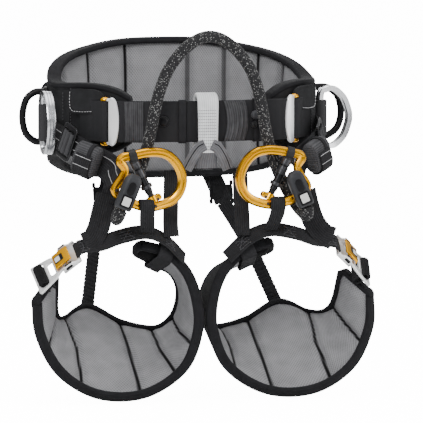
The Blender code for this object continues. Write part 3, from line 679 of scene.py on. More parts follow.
def fill_pad(obj, pinned, cap):
    """Cloth pressure moves the free part of a pad along its normals; no point ends further away than cap."""
    group = obj.vertex_groups.new(name="Sewn down")
    for index in pinned:
        group.add([index], 1.0, "REPLACE")
    start = [v.co.copy() for v in obj.data.vertices]
    cloth = obj.modifiers.new("Foam", "CLOTH")
    cloth.settings.quality = 4
    cloth.settings.mass = 0.15
    cloth.settings.use_pressure = True
    cloth.settings.uniform_pressure_force = PAD_PRESSURE
    cloth.settings.vertex_group_mass = group.name
    cloth.settings.effector_weights.gravity = 0.0
    cloth.point_cache.frame_start, cloth.point_cache.frame_end = 1, SETTLE_FRAMES
    for frame in range(1, SETTLE_FRAMES + 1):
        bpy.context.scene.frame_set(frame)
    settled = obj.evaluated_get(bpy.context.evaluated_depsgraph_get()).to_mesh()
    moved = [v.co.copy() for v in settled.vertices]
    obj.modifiers.remove(cloth)
    bpy.context.scene.frame_set(1)
    most = 0.0
    for vertex, before, after in zip(obj.data.vertices, start, moved):
        step = after - before
        most = max(most, step.length)
        if step.length > 1e-9:
            vertex.co = before + step.normalized() * (cap * math.tanh(step.length / cap))
    print(obj.name, "cloth moved", round(most * 1000, 2), "mm at most, before the cap of", cap * 1000, "mm")


# %% Pads, shells and edge tape
BELT_CHANNELS = (-101, -82, -63, -38, -17, 12, 29, 47, 63, 82, 101)
LEG_CHANNELS = [(1.0, 1.45), (2.05, 2.62), (3.98, 3.86), (4.88, 4.76), (5.9, 5.6)]


def make_pad(name, edges, channels, sizes, body, node, bare_from=1.1):
    """channels holds each row of stitching as (high end, low end, bow), in shares of the length.

    Past bare_from the pad takes the near-black colour, which there is the real dark of the bare end.
    """
    start, depth, along, across, cap = sizes
    length = panel_length(edges)

    def away(s, t):
        """Distance from the nearest channel, in metres."""
        return min(
            abs(s - (high + (low - high) * (1 - t) / 2 + bow * (1 - abs(t)))) for high, low, bow in channels
        ) * length

    def depth_at(s, t, layer):
        if layer == 0:
            return start
        rise = 0.30 + 0.70 * (1 - abs(t) ** 4)
        ends = min(1.0, min(s, 1 - s) * length / 0.012)
        return start + (depth - start) * rise * (0.35 + 0.65 * ends) * (
            1 - 0.72 * math.exp(-((away(s, t) / 0.0042) ** 2))
        )

    bm, grid = slab(edges, 0.0045, depth_at, along, across, 0.012)
    obj = finish_piece(name, bm, pad_mesh, None, (node,), sharp=0)
    channel_shade_and_dark_end = obj.data.attributes.new("channel_shade_and_dark_end", "FLOAT", "POINT")
    pinned = []
    for index, (s, t, layer) in grid.items():
        gap = away(s, t)
        # Near each channel the value paints near-black shade into the crease; past bare_from it marks the
        # real dark of the bare end.
        channel_shade_and_dark_end.data[index].value = math.exp(-((gap / 0.0021) ** 2)) if layer and s < bare_from else 1.0
        if layer == 0 or gap < 0.0022 or abs(t) > 0.93 or min(s, 1 - s) * length < 0.014:
            pinned.append(index)
    fill_pad(obj, pinned, cap)
    softened = obj.modifiers.new("Smooth", "SUBSURF")
    softened.levels = softened.render_levels = 1
    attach(obj, body)
    return obj


def make_shell(name, edges, thickness, bulge, along, across, body, node):
    def depth_at(s, t, layer):
        return thickness if layer else -bulge * (1 - abs(t) ** 6)

    bm, _ = slab(edges, 0.0040, depth_at, along, across, 0.010)
    return finish_piece(name, bm, shell_cloth, body, (node,), sharp=50)


def make_binding(name, edges, depth, body, node):
    """Tape folded over the edge, all the way round with rounded corners."""
    count = 150
    rim = []
    for rows, pick in ((range(2, count - 1), 0), (range(count - 2, 1, -1), 1)):
        for i in rows:
            low, high, inward = edges(i / count)
            edge, other = (low, high) if pick == 0 else (high, low)
            rim.append((edge, (other - edge).normalized(), inward))
        s = 1.0 if pick == 0 else 0.0
        low, high, inward = edges(s)
        near = edges(0.985 if pick == 0 else 0.015)
        back = ((near[0] + near[1]) / 2 - (low + high) / 2).normalized()
        first, last = (low, high) if pick == 0 else (high, low)
        side_way = (last - first).normalized()
        reach = min(0.008, (last - first).length * 0.35)
        for k in range(7):
            a = math.pi / 2 * k / 6
            inside = (side_way * math.cos(a) + back * math.sin(a)).normalized()
            rim.append((first + side_way * reach + back * reach - inside * reach, inside, inward))
        for k in range(7):
            a = math.pi / 2 * (1 - k / 6)
            inside = (-side_way * math.cos(a) + back * math.sin(a)).normalized()
            rim.append((last - side_way * reach + back * reach - inside * reach, inside, inward))
    width = 0.0068
    outline = flat_outline(width, depth + 0.0012, 0.42, 4)
    rings = []
    for edge, inside, inward in rim:
        middle = edge + inside * width / 2 + inward * (depth - 0.0008) / 2
        rings.append([middle + inside * x + inward * y for x, y in outline])
    middles = [ring[0] for ring in rings]
    bm = skin(rings, running_length(middles + middles[:1]), [y for _, y in outline] + [outline[0][1]], True)
    return finish_piece(name, bm, edge_tape, body, (node,), sharp=0)


def as_shares(pairs, last, bows=()):
    return [(a / last, b / last, bows[i] if i < len(bows) else 0.0) for i, (a, b) in enumerate(pairs)]


belt_shares = [(angle + BELT_END) / (2 * BELT_END) for angle in BELT_CHANNELS]
belt_channels = [(share, share, 0.0) for share in belt_shares]
make_pad("belt_pad", belt_edges, belt_channels, (0.0040, 0.0150, 210, 34, 0.0030), "belt", "belt_padding")
make_shell("belt_outer_shell", belt_edges, 0.0030, 0.0008, 150, 12, "belt", "belt_shell")
make_binding("belt_edge_tape", belt_edges, 0.0150, "belt", "belt_binding")
for end, side in SIDES:
    edges = leg_edges(side)
    body = "leg_loop_" + end
    channels = as_shares(LEG_CHANNELS, 10, (0.004, 0.016, 0.0, -0.010, -0.010))
    make_pad(
        "leg_pad_" + end, edges, channels, (0.0035, 0.0120, 150, 26, 0.0030), body, "leg_padding_" + end,
        0.865
    )
    make_shell("leg_outer_shell_" + end, edges, 0.0030, 0.0012, 110, 10, body, "leg_shell_" + end)
    make_binding("leg_edge_tape_" + end, edges, 0.0105, body, "leg_binding_" + end)
print("padded panels made")

# %% [markdown]
# ## Plates and turned pieces
# Frames, slides and buckle plates are cut from sheet: a flat outline with its windows, given a thickness
# and a small rounded edge. A flat curve does all of that, and is made a mesh before it is set in its
# place.

# %% Plates and turned bars


def rounded_box(width, height, radius, steps=4):
    outline = []
    w, h = width / 2 - radius, height / 2 - radius
    for k, (x, y) in enumerate([(w, h), (-w, h), (-w, -h), (w, -h)]):
        for s in range(steps + 1):
            a = math.radians(90 * (k + s / steps))
            outline.append((x + radius * math.cos(a), y + radius * math.sin(a)))
    return outline


def shifted_by(outline, x, y):
    return [(px + x, py + y) for px, py in outline]


def place_at(origin, x_way, y_way):
    x = x_way.normalized()
    z = x.cross(y_way).normalized()
    turned = Matrix((x, z.cross(x), z)).transposed().to_4x4()
    turned.translation = origin
    return turned


def cut_plate(outlines, thickness, edge, place, curved=None):
    """A bmesh of a plate; the first outline is its rim and the others are windows."""
    flat = bpy.data.curves.new("outline", "CURVE")
    flat.dimensions, flat.fill_mode = "2D", "BOTH"
    flat.extrude, flat.bevel_depth, flat.bevel_resolution, flat.offset = thickness / 2 - edge, edge, 2, -edge
    for outline in outlines:
        line = flat.splines.new("POLY")
        line.points.add(len(outline) - 1)
        for point, (x, y) in zip(line.points, outline):
            point.co = (x, y, 0, 1)
        line.use_cyclic_u = True
    holder = bpy.data.objects.new("outline", flat)
    bpy.context.collection.objects.link(holder)
    made = bpy.data.meshes.new_from_object(holder.evaluated_get(bpy.context.evaluated_depsgraph_get()))
    bpy.data.objects.remove(holder)
    bpy.data.curves.remove(flat)
    bm = bmesh.new()
    bm.from_mesh(made)
    bpy.data.meshes.remove(made)
    bmesh.ops.remove_doubles(bm, verts=bm.verts[:], dist=2e-6)
    for vertex in bm.verts:
        if curved:
            vertex.co.z += curved(vertex.co.x, vertex.co.y)
        vertex.co = place @ vertex.co
    return bm


def turned_bar(start, end, profile, sides=20):
    """A turned bar: profile gives (share of its length, radius)."""
    along = (end - start).normalized()
    facing = FRONT if abs(along.y) < 0.8 else Vector((1, 0, 0))
    path = [start.lerp(end, share) for share, _ in profile]
    return round_bar(path, facing, 1.0, sides, scale=[radius for _, radius in profile])


def joined(*made):
    """One bmesh from several."""
    first = made[0]
    for other in made[1:]:
        spare = bpy.data.meshes.new("spare")
        other.to_mesh(spare)
        other.free()
        first.from_mesh(spare)
        bpy.data.meshes.remove(spare)
    return first


# %% [markdown]
# ## Front webbing and waist frames
# The waist webbing crosses the front and folds round a silver frame at each side. The frame hooks over a gold
# capped bar, and a roll of webbing holds the bar to the belt. The webbing gathers into upright folds where
# the frame pulls it.

# %% Waist webbing
FRAME_OFFSET, BAR_ANGLE, FRAME_ANGLE = 0.0098, 137.4, 143.7
WAIST_WIDTH = 0.045
FOLD = 0.0030


def webbing_half(side):
    path = []
    for i in range(25):
        angle = 180 + (FRAME_ANGLE + 1.2 - 180) * i / 24
        rise = max(0.0, i / 24 - 0.62) / 0.38
        path.append(on_belt(angle, 0.0052 + (FRAME_OFFSET - FOLD - 0.0052) * rise, 0, side))
    leg = on_belt(FRAME_ANGLE, FRAME_OFFSET, 0, side)
    out = belt_out(FRAME_ANGLE, side)
    back = UP.cross(out) * -side
    for i in range(11):
        turn = math.pi * i / 10
        path.append(leg - back * math.sin(turn) * (FOLD + 0.0034) - out * math.cos(turn) * FOLD)
    for i in range(1, 7):
        path.append(on_belt(FRAME_ANGLE + 1.2 + 2.0 * i, FRAME_OFFSET + FOLD - 0.00025 * i, 0, side))
    return path


band = webbing_half(-1)[:0:-1] + webbing_half(1)
facing = [UP] * len(band)
bm = sweep(band, facing, [(y, x) for x, y in flat_outline(WAIST_WIDTH, 0.0019)][::-1])
finish_piece("waist_webbing", bm, black_webbing, "belt", ("front_webbing",))


def gathers(name, side, first, last, offset, ridges, lean, height, swell=0.0):
    """A short band whose cloth is gathered into upright folds."""
    bm = bmesh.new()
    across = ridges * 8
    bmesh.ops.create_grid(bm, x_segments=across, y_segments=14, size=1.0)
    raised = bmesh.ops.extrude_face_region(bm, geom=bm.faces[:])["geom"]
    bmesh.ops.translate(bm, vec=UP, verts=[item for item in raised if isinstance(item, bmesh.types.BMVert)])
    uv = bm.loops.layers.uv.new("UVMap")
    for face in bm.faces:
        for loop in face.loops:
            loop[uv].uv = (loop.vert.co.y * height / 2, loop.vert.co.x * 0.012)
    for vertex in bm.verts:
        x, y, layer = vertex.co
        run = (x + 1) / 2
        ripple = abs(math.sin(math.pi * ridges * run + 0.5 * math.sin(2.2 * y + x))) ** 0.7
        deep = offset + layer * (0.0006 + 0.0015 * ripple * (1 - 0.25 * abs(y)) + swell * (1 - x * x))
        angle = first + (last - first) * run + lean * (1 - y * y)
        vertex.co = on_belt(angle, deep, y * height / 2, side)
    return finish_piece(name, bm, highlit_gathered_webbing, "belt", sharp=0)


gathers("webbing_gathers_left", -1, 146.5, 154.5, 0.0124, 4, 0.0, WAIST_WIDTH - 0.001)
gathers("webbing_gathers_right", 1, 163.0, 172.5, 0.0064, 5, -1.6, WAIST_WIDTH - 0.001, 0.002)


def keeper_band(name, side, angle, offset, width, height):
    """An elastic keeper round the waist webbing."""
    out = belt_out(angle, side)
    way = UP.cross(out)
    middle = on_belt(angle, offset, 0, side)
    ring = [middle + UP * z + out * y for y, z in flat_outline(0.0052, height, 0.42, 4)]
    bm = sweep(ring, way, flat_outline(0.0011, width), closed=True)
    return finish_piece(name, bm, elastic_cloth, "belt")


keeper_band("waist_keeper_left", -1, 170.5, 0.0052, 0.0085, WAIST_WIDTH + 0.0016)
keeper_band("waist_keeper_right", 1, 157.0, 0.0058, 0.0105, WAIST_WIDTH + 0.0016)


def stud(name, side, angle, offset, height, radius, domed, finish):
    out = belt_out(angle, side)
    foot = on_belt(angle, offset, height, side)
    profile = [
        (0, radius * 0.9), (0.35, radius), (0.6, radius * 0.96), (0.85, radius * 0.72), (1, radius * 0.35)
    ]
    return finish_piece(
        name, turned_bar(foot, foot + out * domed, profile, 24), finish, "belt", sharp=50
    )


stud("keeper_button", -1, 162.7, 0.0060, 0.0004, 0.0058, 0.0044, lock_plastic)
stud("adjusting_knob", 1, 158.8, 0.0085, 0.0060, 0.0048, 0.0052, sleeve_plastic)
stud("adjusting_knob_lower", 1, 159.2, 0.0085, -0.0048, 0.0036, 0.0040, lock_plastic)
print("waist webbing", round(running_length(band)[-1], 3), "m")

# %% Waist bars and frames
CAP = 0.0040
BAR_TOP = WAIST_WIDTH / 2 + 0.0004
cap_share = CAP / (2 * (BAR_TOP + CAP))
cap_profile = [(0, 0.0008), (0.012, 0.0032), (0.030, 0.0047), (0.052, 0.0052), (cap_share - 0.004, 0.0052)]
cap_profile += [(cap_share, 0.0048), (cap_share + 0.002, 0.0024)]
bar_profile = cap_profile + [(1 - share, radius) for share, radius in cap_profile[::-1]]
for end, side in SIDES:
    low, high = (on_belt(BAR_ANGLE, FRAME_OFFSET, z, side) for z in (-BAR_TOP - CAP, BAR_TOP + CAP))
    bar = turned_bar(low, high, bar_profile, 28)
    finish_piece(
        "waist_bar_capped_" + end, bar, gold_alloy, "belt", ("waist_bar_" + end,), sharp=50
    )
    out = belt_out(BAR_ANGLE, side)
    back = UP.cross(out) * side
    if back.y < 0:
        back = -back
    middle = on_belt(BAR_ANGLE, FRAME_OFFSET, 0, side)
    wrap = [on_belt(BAR_ANGLE - 13, 0.0016, 0, side), on_belt(BAR_ANGLE - 9, 0.0020, 0, side)]
    wrap += [on_belt(BAR_ANGLE - 5, 0.0034, 0, side)]
    for i in range(17):
        turn = math.radians(-70 - 220 * i / 16)
        wrap.append(middle + (back * math.cos(turn) + out * math.sin(turn)) * 0.0041)
    wrap += [on_belt(BAR_ANGLE - 5, 0.0080, 0, side), on_belt(BAR_ANGLE - 9, 0.0056, 0, side)]
    wrap += [on_belt(BAR_ANGLE - 14, 0.0044, 0, side)]
    bm = sweep(wrap, UP, [(y, x) for x, y in flat_outline(2 * BAR_TOP - 0.001, 0.0018)][::-1])
    finish_piece("bar_webbing_" + end, bm, black_webbing, "belt", ("waist_bar_webbing_" + end,))

FRAME_REACH = 0.0265
for end, side in SIDES:
    rim = []
    for k in range(28):
        a = math.pi * (0.5 - k / 27)
        rim.append(
            (0.0084 * math.cos(a) ** 0.8 if abs(math.cos(a)) > 1e-6 else 0.0, FRAME_REACH * math.sin(a))
        )
    rim += [(-0.0018, -FRAME_REACH + 0.0006), (-0.0034, -FRAME_REACH + 0.0035)]
    rim += [(-0.0034, FRAME_REACH - 0.0035), (-0.0018, FRAME_REACH - 0.0006)]
    out = belt_out(FRAME_ANGLE - 2.7, side)
    front_way = UP.cross(out) * side * -1
    if front_way.y > 0:
        front_way = -front_way
    place = place_at(on_belt(FRAME_ANGLE - 2.7, 0.0142, 0, side), front_way, UP)
    dome = (1 if place.col[2].to_3d().dot(out) > 0 else -1) * 0.0016
    crescent = cut_plate([rim], 0.0036, 0.0012, place, lambda x, y: dome * (1 - (x / 0.0110) ** 2) - dome)
    for z in (-BAR_TOP - CAP + 0.0012, BAR_TOP + CAP - 0.0012):
        hook = [
            on_belt(a, o, z * k, side) for a, o,
            k in ((137.6, 0.0100, 0.86), (139.2, 0.0125, 0.93), (141.4, 0.0128, 0.90))
        ]
        crescent = joined(crescent, round_bar(curve(hook, 8), UP, 0.0016, 10))
    finish_piece(
        "waist_crescent_" + end, crescent, silver_alloy, "belt", ("waist_frame_" + end,),
        sharp=50
    )
print("waist frames made")

# %% [markdown]
# ## Belt wings
# Each wing carries a sewn flap over its bar, a band of cloth in front of the hip ring and rows of stitching.
# A flap is a thin sheet laid on the shell; the stitches are real little bars, because they cast light.

# %% Patches on the wings


def wing_patch(
    name, side, outline, offset, thickness=0.0014, finish=shell_cloth, steps=26,
    puff=0.0
):
    """A patch of cloth on the belt; outline is (angle, height) round its edge."""
    bm = bmesh.new()
    ring = loop_curve([Vector((a, z * 1000, 0)) for a, z in outline], steps * 2)
    bmesh.ops.create_circle(bm, cap_ends=True, segments=len(ring), radius=1.0)
    bm.faces.ensure_lookup_table()
    for vertex, point in zip(bm.faces[0].verts, ring):
        vertex.co = (point.x, point.y, 0)
    for inset in (0.5, 2.0, 3.0):
        inner = max(bm.faces, key=lambda f: f.calc_area())
        bmesh.ops.inset_region(bm, faces=[inner], thickness=inset, use_even_offset=False)
    raised = bmesh.ops.extrude_face_region(bm, geom=bm.faces[:])["geom"]
    bmesh.ops.translate(bm, vec=UP, verts=[item for item in raised if isinstance(item, bmesh.types.BMVert)])
    uv = bm.loops.layers.uv.new("UVMap")
    for face in bm.faces:
        for loop in face.loops:
            loop[uv].uv = (loop.vert.co.x * 0.0026, loop.vert.co.y / 1000)
    rim = {v for e in bm.edges if len(e.link_faces) == 2 and e.calc_face_angle(0) > 1.0 for v in e.verts}
    for vertex in bm.verts:
        lift = offset + vertex.co.z * (thickness + (0.0 if vertex in rim else puff))
        vertex.co = on_belt(vertex.co.x, lift, vertex.co.y / 1000, side)
    return finish_piece(name, bm, finish, "belt", sharp=50)


def belt_line(side, points, offset, steps=24):
    return [
        on_belt(p.x, offset, p.y / 1000, side)
        for p in curve([Vector((a, z * 1000, 0)) for a, z in points], steps)
    ]


def belt_stitches(name, side, lines, offset, finish=pale_thread):
    bm = bmesh.new()
    for points in lines:
        path = belt_line(side, points, offset)
        middle = points[len(points) // 2][0]
        stitch_row(bm, path, belt_out(middle, side))
    return finish_piece(name, bm, finish, "belt", sharp=0)


for end, side in SIDES:
    flap = [
        (118, 0.0325), (125, 0.0345), (133, 0.0335), (136.5, 0.0270), (135, 0.0150), (132, 0.0085),
        (124, 0.0075), (118, 0.0090), (116.5, 0.0200)
    ]
    wing_patch("bar_flap_" + end, side, flap, 0.0060, 0.0022, puff=0.0008)
    wing_patch(
        "wing_band_" + end, side,
        [
            (96, 0.030), (106, 0.030), (115, 0.030), (115, 0), (115, -0.030), (106, -0.031), (96, -0.031),
            (95, 0)
        ],
        0.0007, 0.0012
    )
    rows = [[(118.2, 0.030), (118.0, 0.020), (119.2, 0.0110), (125, 0.0095), (131.5, 0.0105)]]
    belt_stitches("flap_stitching_" + end, side, rows, 0.0088)
    rows = [[(116.2, 0.033), (116.0, 0.0), (116.2, -0.028)], [(110.0, 0.028), (110.0, -0.004)]]
    belt_stitches("wing_stitching_" + end, side, rows, 0.0022, grey_thread)
print("belt wings dressed")

# %% [markdown]
# ## Gated rings
# Each ring is a forged loop with a hook at its top outer corner. A black gate bar screws into a seat on the
# lower arm, and a collar keeps the rope's thimble on the upper arm. The ring's face is channelled, so its
# section is drawn with a raised outer rib and carried round the loop.

# %% Ring bodies
RING_CENTRE = Vector((0.066, -0.137, -0.061))
GATE_TOP, GATE_LOW = (-20.0, 20.2), (0.6, -21.4)
RING_LINE = [
    (-36, 23), (-20, 27.5), (0, 30.5), (16, 27.5), (27.5, 17), (33.5, 2), (31, -12), (23, -22),
    (10, -27.5), (-5, -29.5), (-20, -26), (-34, -19), (-42, -10), (-34, 3), (-31, 12),
]


def ring_at(side, u, w, depth=0.0):
    """A point on a gated ring, in mm: u towards the middle, w up, depth towards the wearer."""
    return RING_CENTRE * Vector((side, 1, 1)) + Vector((-side * u, depth, w)) / 1000


RIB = [
    (5.2, 1.2), (4.8, 3.4), (3.4, 5.1), (1.4, 5.2), (0.4, 4.3), (-1.6, 4.1), (-2.6, 4.4), (-4.3, 3.6),
    (-5.2, 1.4)
]
for end, side in SIDES:
    path = loop_curve([ring_at(side, u, w) for u, w in RING_LINE], 120)
    middle = ring_at(side, 0, 0)
    probe = framed(path, FRONT, True)[30]
    outward = 1 if probe[1].dot(probe[0] - middle) > 0 else -1
    rib = [(outward * x / 1000, y / 1000) for x, y in RIB]
    outline = rib + [(x, -y) for x, y in rib[::-1]]
    scale = []
    for i in range(len(path)):
        share = i / len(path)
        slim = 0.20 * math.exp(
            -(((share - 0.93) / 0.05) ** 2)
        ) + 0.10 * math.exp(-(((share - 0.80) / 0.05) ** 2))
        nose = 0.16 * math.exp(-((min(share, 1 - share) / 0.012) ** 2))
        scale.append((1 - slim - nose, 1 - 0.5 * slim - nose))
    bm = sweep(path, FRONT, outline, closed=True, scale=scale)
    finish_piece("ring_forging_" + end, bm, gold_alloy, "belt", ("ring_body_" + end,), sharp=32)

# %% Gates, seats and collars
for end, side in SIDES:
    top, low = ring_at(side, *GATE_TOP), ring_at(side, *GATE_LOW)
    profile = [
        (0, 0.0048), (0.012, 0.0056), (0.155, 0.0056), (0.162, 0.0047), (0.20, 0.0047), (0.205, 0.0053)
    ]
    profile += [
        (0.40, 0.0053), (0.405, 0.0047), (0.60, 0.0047), (0.608, 0.0060), (0.618, 0.0064), (0.69, 0.0064)
    ]
    profile += [(0.70, 0.0057), (0.705, 0.0043), (0.80, 0.0043), (0.81, 0.0036), (1.0, 0.0034)]
    gate = turned_bar(top, low, profile, 28)
    finish_piece(
        "gate_bar_" + end, gate, black_alloy, "gate_" + end, ("ring_gate_" + end,), sharp=40
    )
    along = (low - top).normalized()
    collar = turned_bar(
        ring_at(side, -26.5, 25.2), ring_at(side, -18.0, 27.6),
        [(0, 0.0066), (0.08, 0.0074), (0.92, 0.0074), (1, 0.0066)], 28
    )
    neck = turned_bar(top - along * 0.006, top + along * 0.0002, [(0, 0.0050), (1, 0.0055)], 24)
    finish_piece("ring_collar_" + end, joined(collar, neck), lock_plastic, "belt", sharp=40)
    seat = turned_bar(
        low - along * 0.0045, low + along * 0.0030,
        [(0, 0.0042), (0.06, 0.0050), (0.9, 0.0056), (1, 0.0056)], 24
    )
    for u, w, reach in ((5.6, -18.8, 7.0), (-4.4, -23.4, 6.5)):
        ear = place_at(ring_at(side, u, w), Vector((side * 0.9, 0, -0.44)), Vector((side * 0.44, 0, 0.9)))
        seat = joined(seat, cut_plate([rounded_box(0.0088, reach / 1000, 0.0028)], 0.0082, 0.0010, ear))
    finish_piece("gate_seat_" + end, seat, gold_alloy, "belt", sharp=40)
    screws = []
    for u, w in ((5.6, -20.6), (-8.0, -21.8), (3.0, -28.2)):
        screws.append(
            turned_bar(
                ring_at(side, u, w, -3.9), ring_at(side, u, w, -5.3),
                [(0, 0.0014), (0.9, 0.0014), (1, 0.0010)], 16
            )
        )
    eye = turned_bar(
        ring_at(side, -40.5, -10.0, -4.2), ring_at(side, -40.5, -10.0, -5.1),
        [(0, 0.0019), (0.8, 0.0019), (1, 0.0014)], 16
    )
    finish_piece("ring_screws_" + end, joined(*screws, eye), black_alloy, "belt", sharp=40)
print("gated rings made")

# %% [markdown]
# ## Rope bridge
# The bridge is a 13 mm kernmantle rope: a core inside a tight braided sheath, with pale tracer yarns. It
# stands in an arch because such a rope is stiff, and each end turns up into a moulded sleeve.

# %% Rope and sleeves
ROPE, ROPE_LENGTH = 0.013, 0.52
BRIDGE_HALF = [
    (0, -0.1300, 0.0940), (0.012, -0.1300, 0.0915), (0.024, -0.1298, 0.0840), (0.034, -0.1295, 0.0745),
    (0.046, -0.1285, 0.0580), (0.0549, -0.1270, 0.0360), (0.0603, -0.1255, 0.0140),
    (0.0643, -0.1243, -0.0080), (0.0690, -0.1240, -0.0275), (0.0770, -0.1240, -0.0515),
    (0.0885, -0.1240, -0.0755), (0.0980, -0.1250, -0.0915), (0.1040, -0.1310, -0.1000),
    (0.1066, -0.1390, -0.1032), (0.1066, -0.1465, -0.1010), (0.1055, -0.1508, -0.0965),
    (0.1043, -0.1515, -0.0926),
]
route = even(curve(flip(BRIDGE_HALF[1:], -1)[::-1] + flip(BRIDGE_HALF, 1), 240), 0.0026)
rope = finish_piece(
    "bridge_cord", round_bar(route, FRONT, ROPE / 2, 20), bridge_sheath, "belt", ("bridge_rope",),
    sharp=0
)
print("rope", round(running_length(route)[-1], 3), "m")

for end, side in SIDES:
    top, low = Vector((side * 0.0880, -0.1515, -0.0535)), Vector((side * 0.1035, -0.1515, -0.0910))
    facing = FRONT
    scale = []
    shares = [0, 0.03, 0.08, 0.16, 0.28, 0.45, 0.7, 0.86, 0.94, 0.98, 1.0]
    sizes = [
        (0.42, 0.45), (0.62, 0.62), (0.80, 0.78), (0.94, 0.92), (1, 1), (1, 1), (1, 1.02), (0.98, 1.04),
        (0.95, 1.0), (0.90, 0.94), (0.84, 0.86)
    ]
    body = sweep(
        [top.lerp(low, s) for s in shares], facing, rounded_box(0.0195, 0.0150, 0.0050, 4), scale=sizes
    )
    finish_piece(
        "sleeve_moulding_" + end, body, sleeve_plastic, "belt", ("rope_sleeve_" + end,),
        sharp=45
    )
    along = (low - top).normalized()
    across = along.cross(FRONT).normalized()
    face = Vector((0, -0.00755, 0))
    rim = place_at(top.lerp(low, 0.77) + face, across, along)
    frame_plate = cut_plate(
        [rounded_box(0.0128, 0.0138, 0.0015), rounded_box(0.0088, 0.0096, 0.0010)], 0.0012, 0.0003, rim
    )
    # A thin blacker plate laid on the sleeve's face below the window stands for a groove: its dark is painted
    # groove shade, no recess is cut.
    groove_shade_plate = cut_plate([shifted_by(rounded_box(0.0084, 0.0150, 0.0040), 0, -0.0150)], 0.0008, 0.0003, rim)
    finish_piece(
        "sleeve_inset_and_groove_shade_" + end, joined(frame_plate, groove_shade_plate), lock_plastic, "belt", sharp=40
    )
    label = cut_plate([rounded_box(0.0090, 0.0098, 0.0008)], 0.0008, 0.0001, rim)
    finish_piece("sleeve_window_" + end, label, blank_label, "belt", sharp=40)
print("bridge made")

# %% [markdown]
# ## Centre loop
# A light grey textile loop stands up from a stitched base at the middle of the front, for lifting the rope.

# %% Centre loop and base
LOOP_FRONT, LOOP_REAR = -0.1235, -0.1005
path = [Vector((0, LOOP_FRONT, z)) for z in (-0.0335, -0.024, -0.010, 0.002, 0.0125, 0.0185)]
for i in range(1, 12):
    turn = math.pi * i / 12
    y = (LOOP_FRONT + LOOP_REAR) / 2 + (LOOP_FRONT - LOOP_REAR) / 2 * math.cos(turn)
    path.append(Vector((0, y, 0.0185 + 0.0115 * math.sin(turn))))
path += [Vector((0, LOOP_REAR, z)) for z in (0.0185, 0.006, -0.010, -0.024, -0.0325)]
facing = []
for way in directions(path):
    facing.append(Vector((1, 0, 0)).cross(way).normalized())
taper = [(0.92 + 0.08 * min(1.0, i / 5), 1) for i in range(len(path))]
bm = sweep(path, facing, flat_outline(0.0235, 0.0034), scale=taper)
finish_piece("centre_textile_loop", bm, loop_textile, "belt", ("centre_loop",))
bm = bmesh.new()
for x in (-0.0078, 0.0, 0.0078):
    line = [p + f * 0.0017 * -1 + Vector((x, 0, 0)) for p, f in zip(path, facing)][:17]
    stitch_row(bm, line, facing[2] * -1, 0.0030, 0.0022, 0.0005)
for z in [-0.030 + 0.0033 * i for i in range(14)]:
    line = [Vector((x, LOOP_FRONT - 0.0017, z)) for x in (-0.0102, 0.0102)]
    stitch_row(bm, line, FRONT, 0.0025, 0.0019, 0.0004)
finish_piece("centre_loop_stitching", bm, grey_thread, "belt", sharp=0)

base_path = [Vector((0, -0.1120, z)) for z in (-0.0320, -0.0335, -0.037, -0.042, -0.047, -0.0505, -0.0515)]
base_scale = [(0.94, 0.94), (1.0, 1.0), (1.04, 0.84), (1.10, 0.52), (1.14, 0.32), (1.15, 0.26), (1.12, 0.20)]
bm = sweep(base_path, FRONT, rounded_box(0.0215, 0.0250, 0.0040, 3), scale=base_scale)
finish_piece("loop_stitched_base", bm, base_textile, "belt", ("loop_base",), sharp=45)
for end, side in SIDES:
    arm = curve(
        flip(
            [
                (0.0040, -0.1262, -0.0245), (0.0105, -0.1252, -0.0285), (0.0180, -0.1225, -0.0400),
                (0.0235, -0.1190, -0.0520)
            ],
            side
        ),
        14
    )
    strap("base_arm_" + end, arm, FRONT, 0.0125, "belt", (), 0.0026, base_textile)
    edge = [p + Vector((side * 0.0022, -0.0014, 0.0012)) for p in arm]
    finish_piece(
        "base_arm_cord_" + end, round_bar(edge, FRONT, 0.0005, 6), edge_tape, "belt",
        sharp=0
    )
half = [Vector(p) for p in ((0.0, -0.1120, -0.0512), (0.018, -0.1120, -0.0530), (0.0385, -0.1120, -0.0535))]
strap("base_cross_link", curve(flip(half[1:], -1)[::-1] + half, 24), UP, 0.0052, "belt", ("loop_link",))
print("centre loop made")

# %% [markdown]
# ## Hip hardware
# At each hip a stack of alloy makes the side ring, held by a grey tab. The left ring is folded forward
# along the belt and the right one stands out. Behind it a black tube makes the gear loop. A strap runs
# from the belt through a metal slide to the gated ring, and its spare length is rolled up and held by an
# elastic keeper.

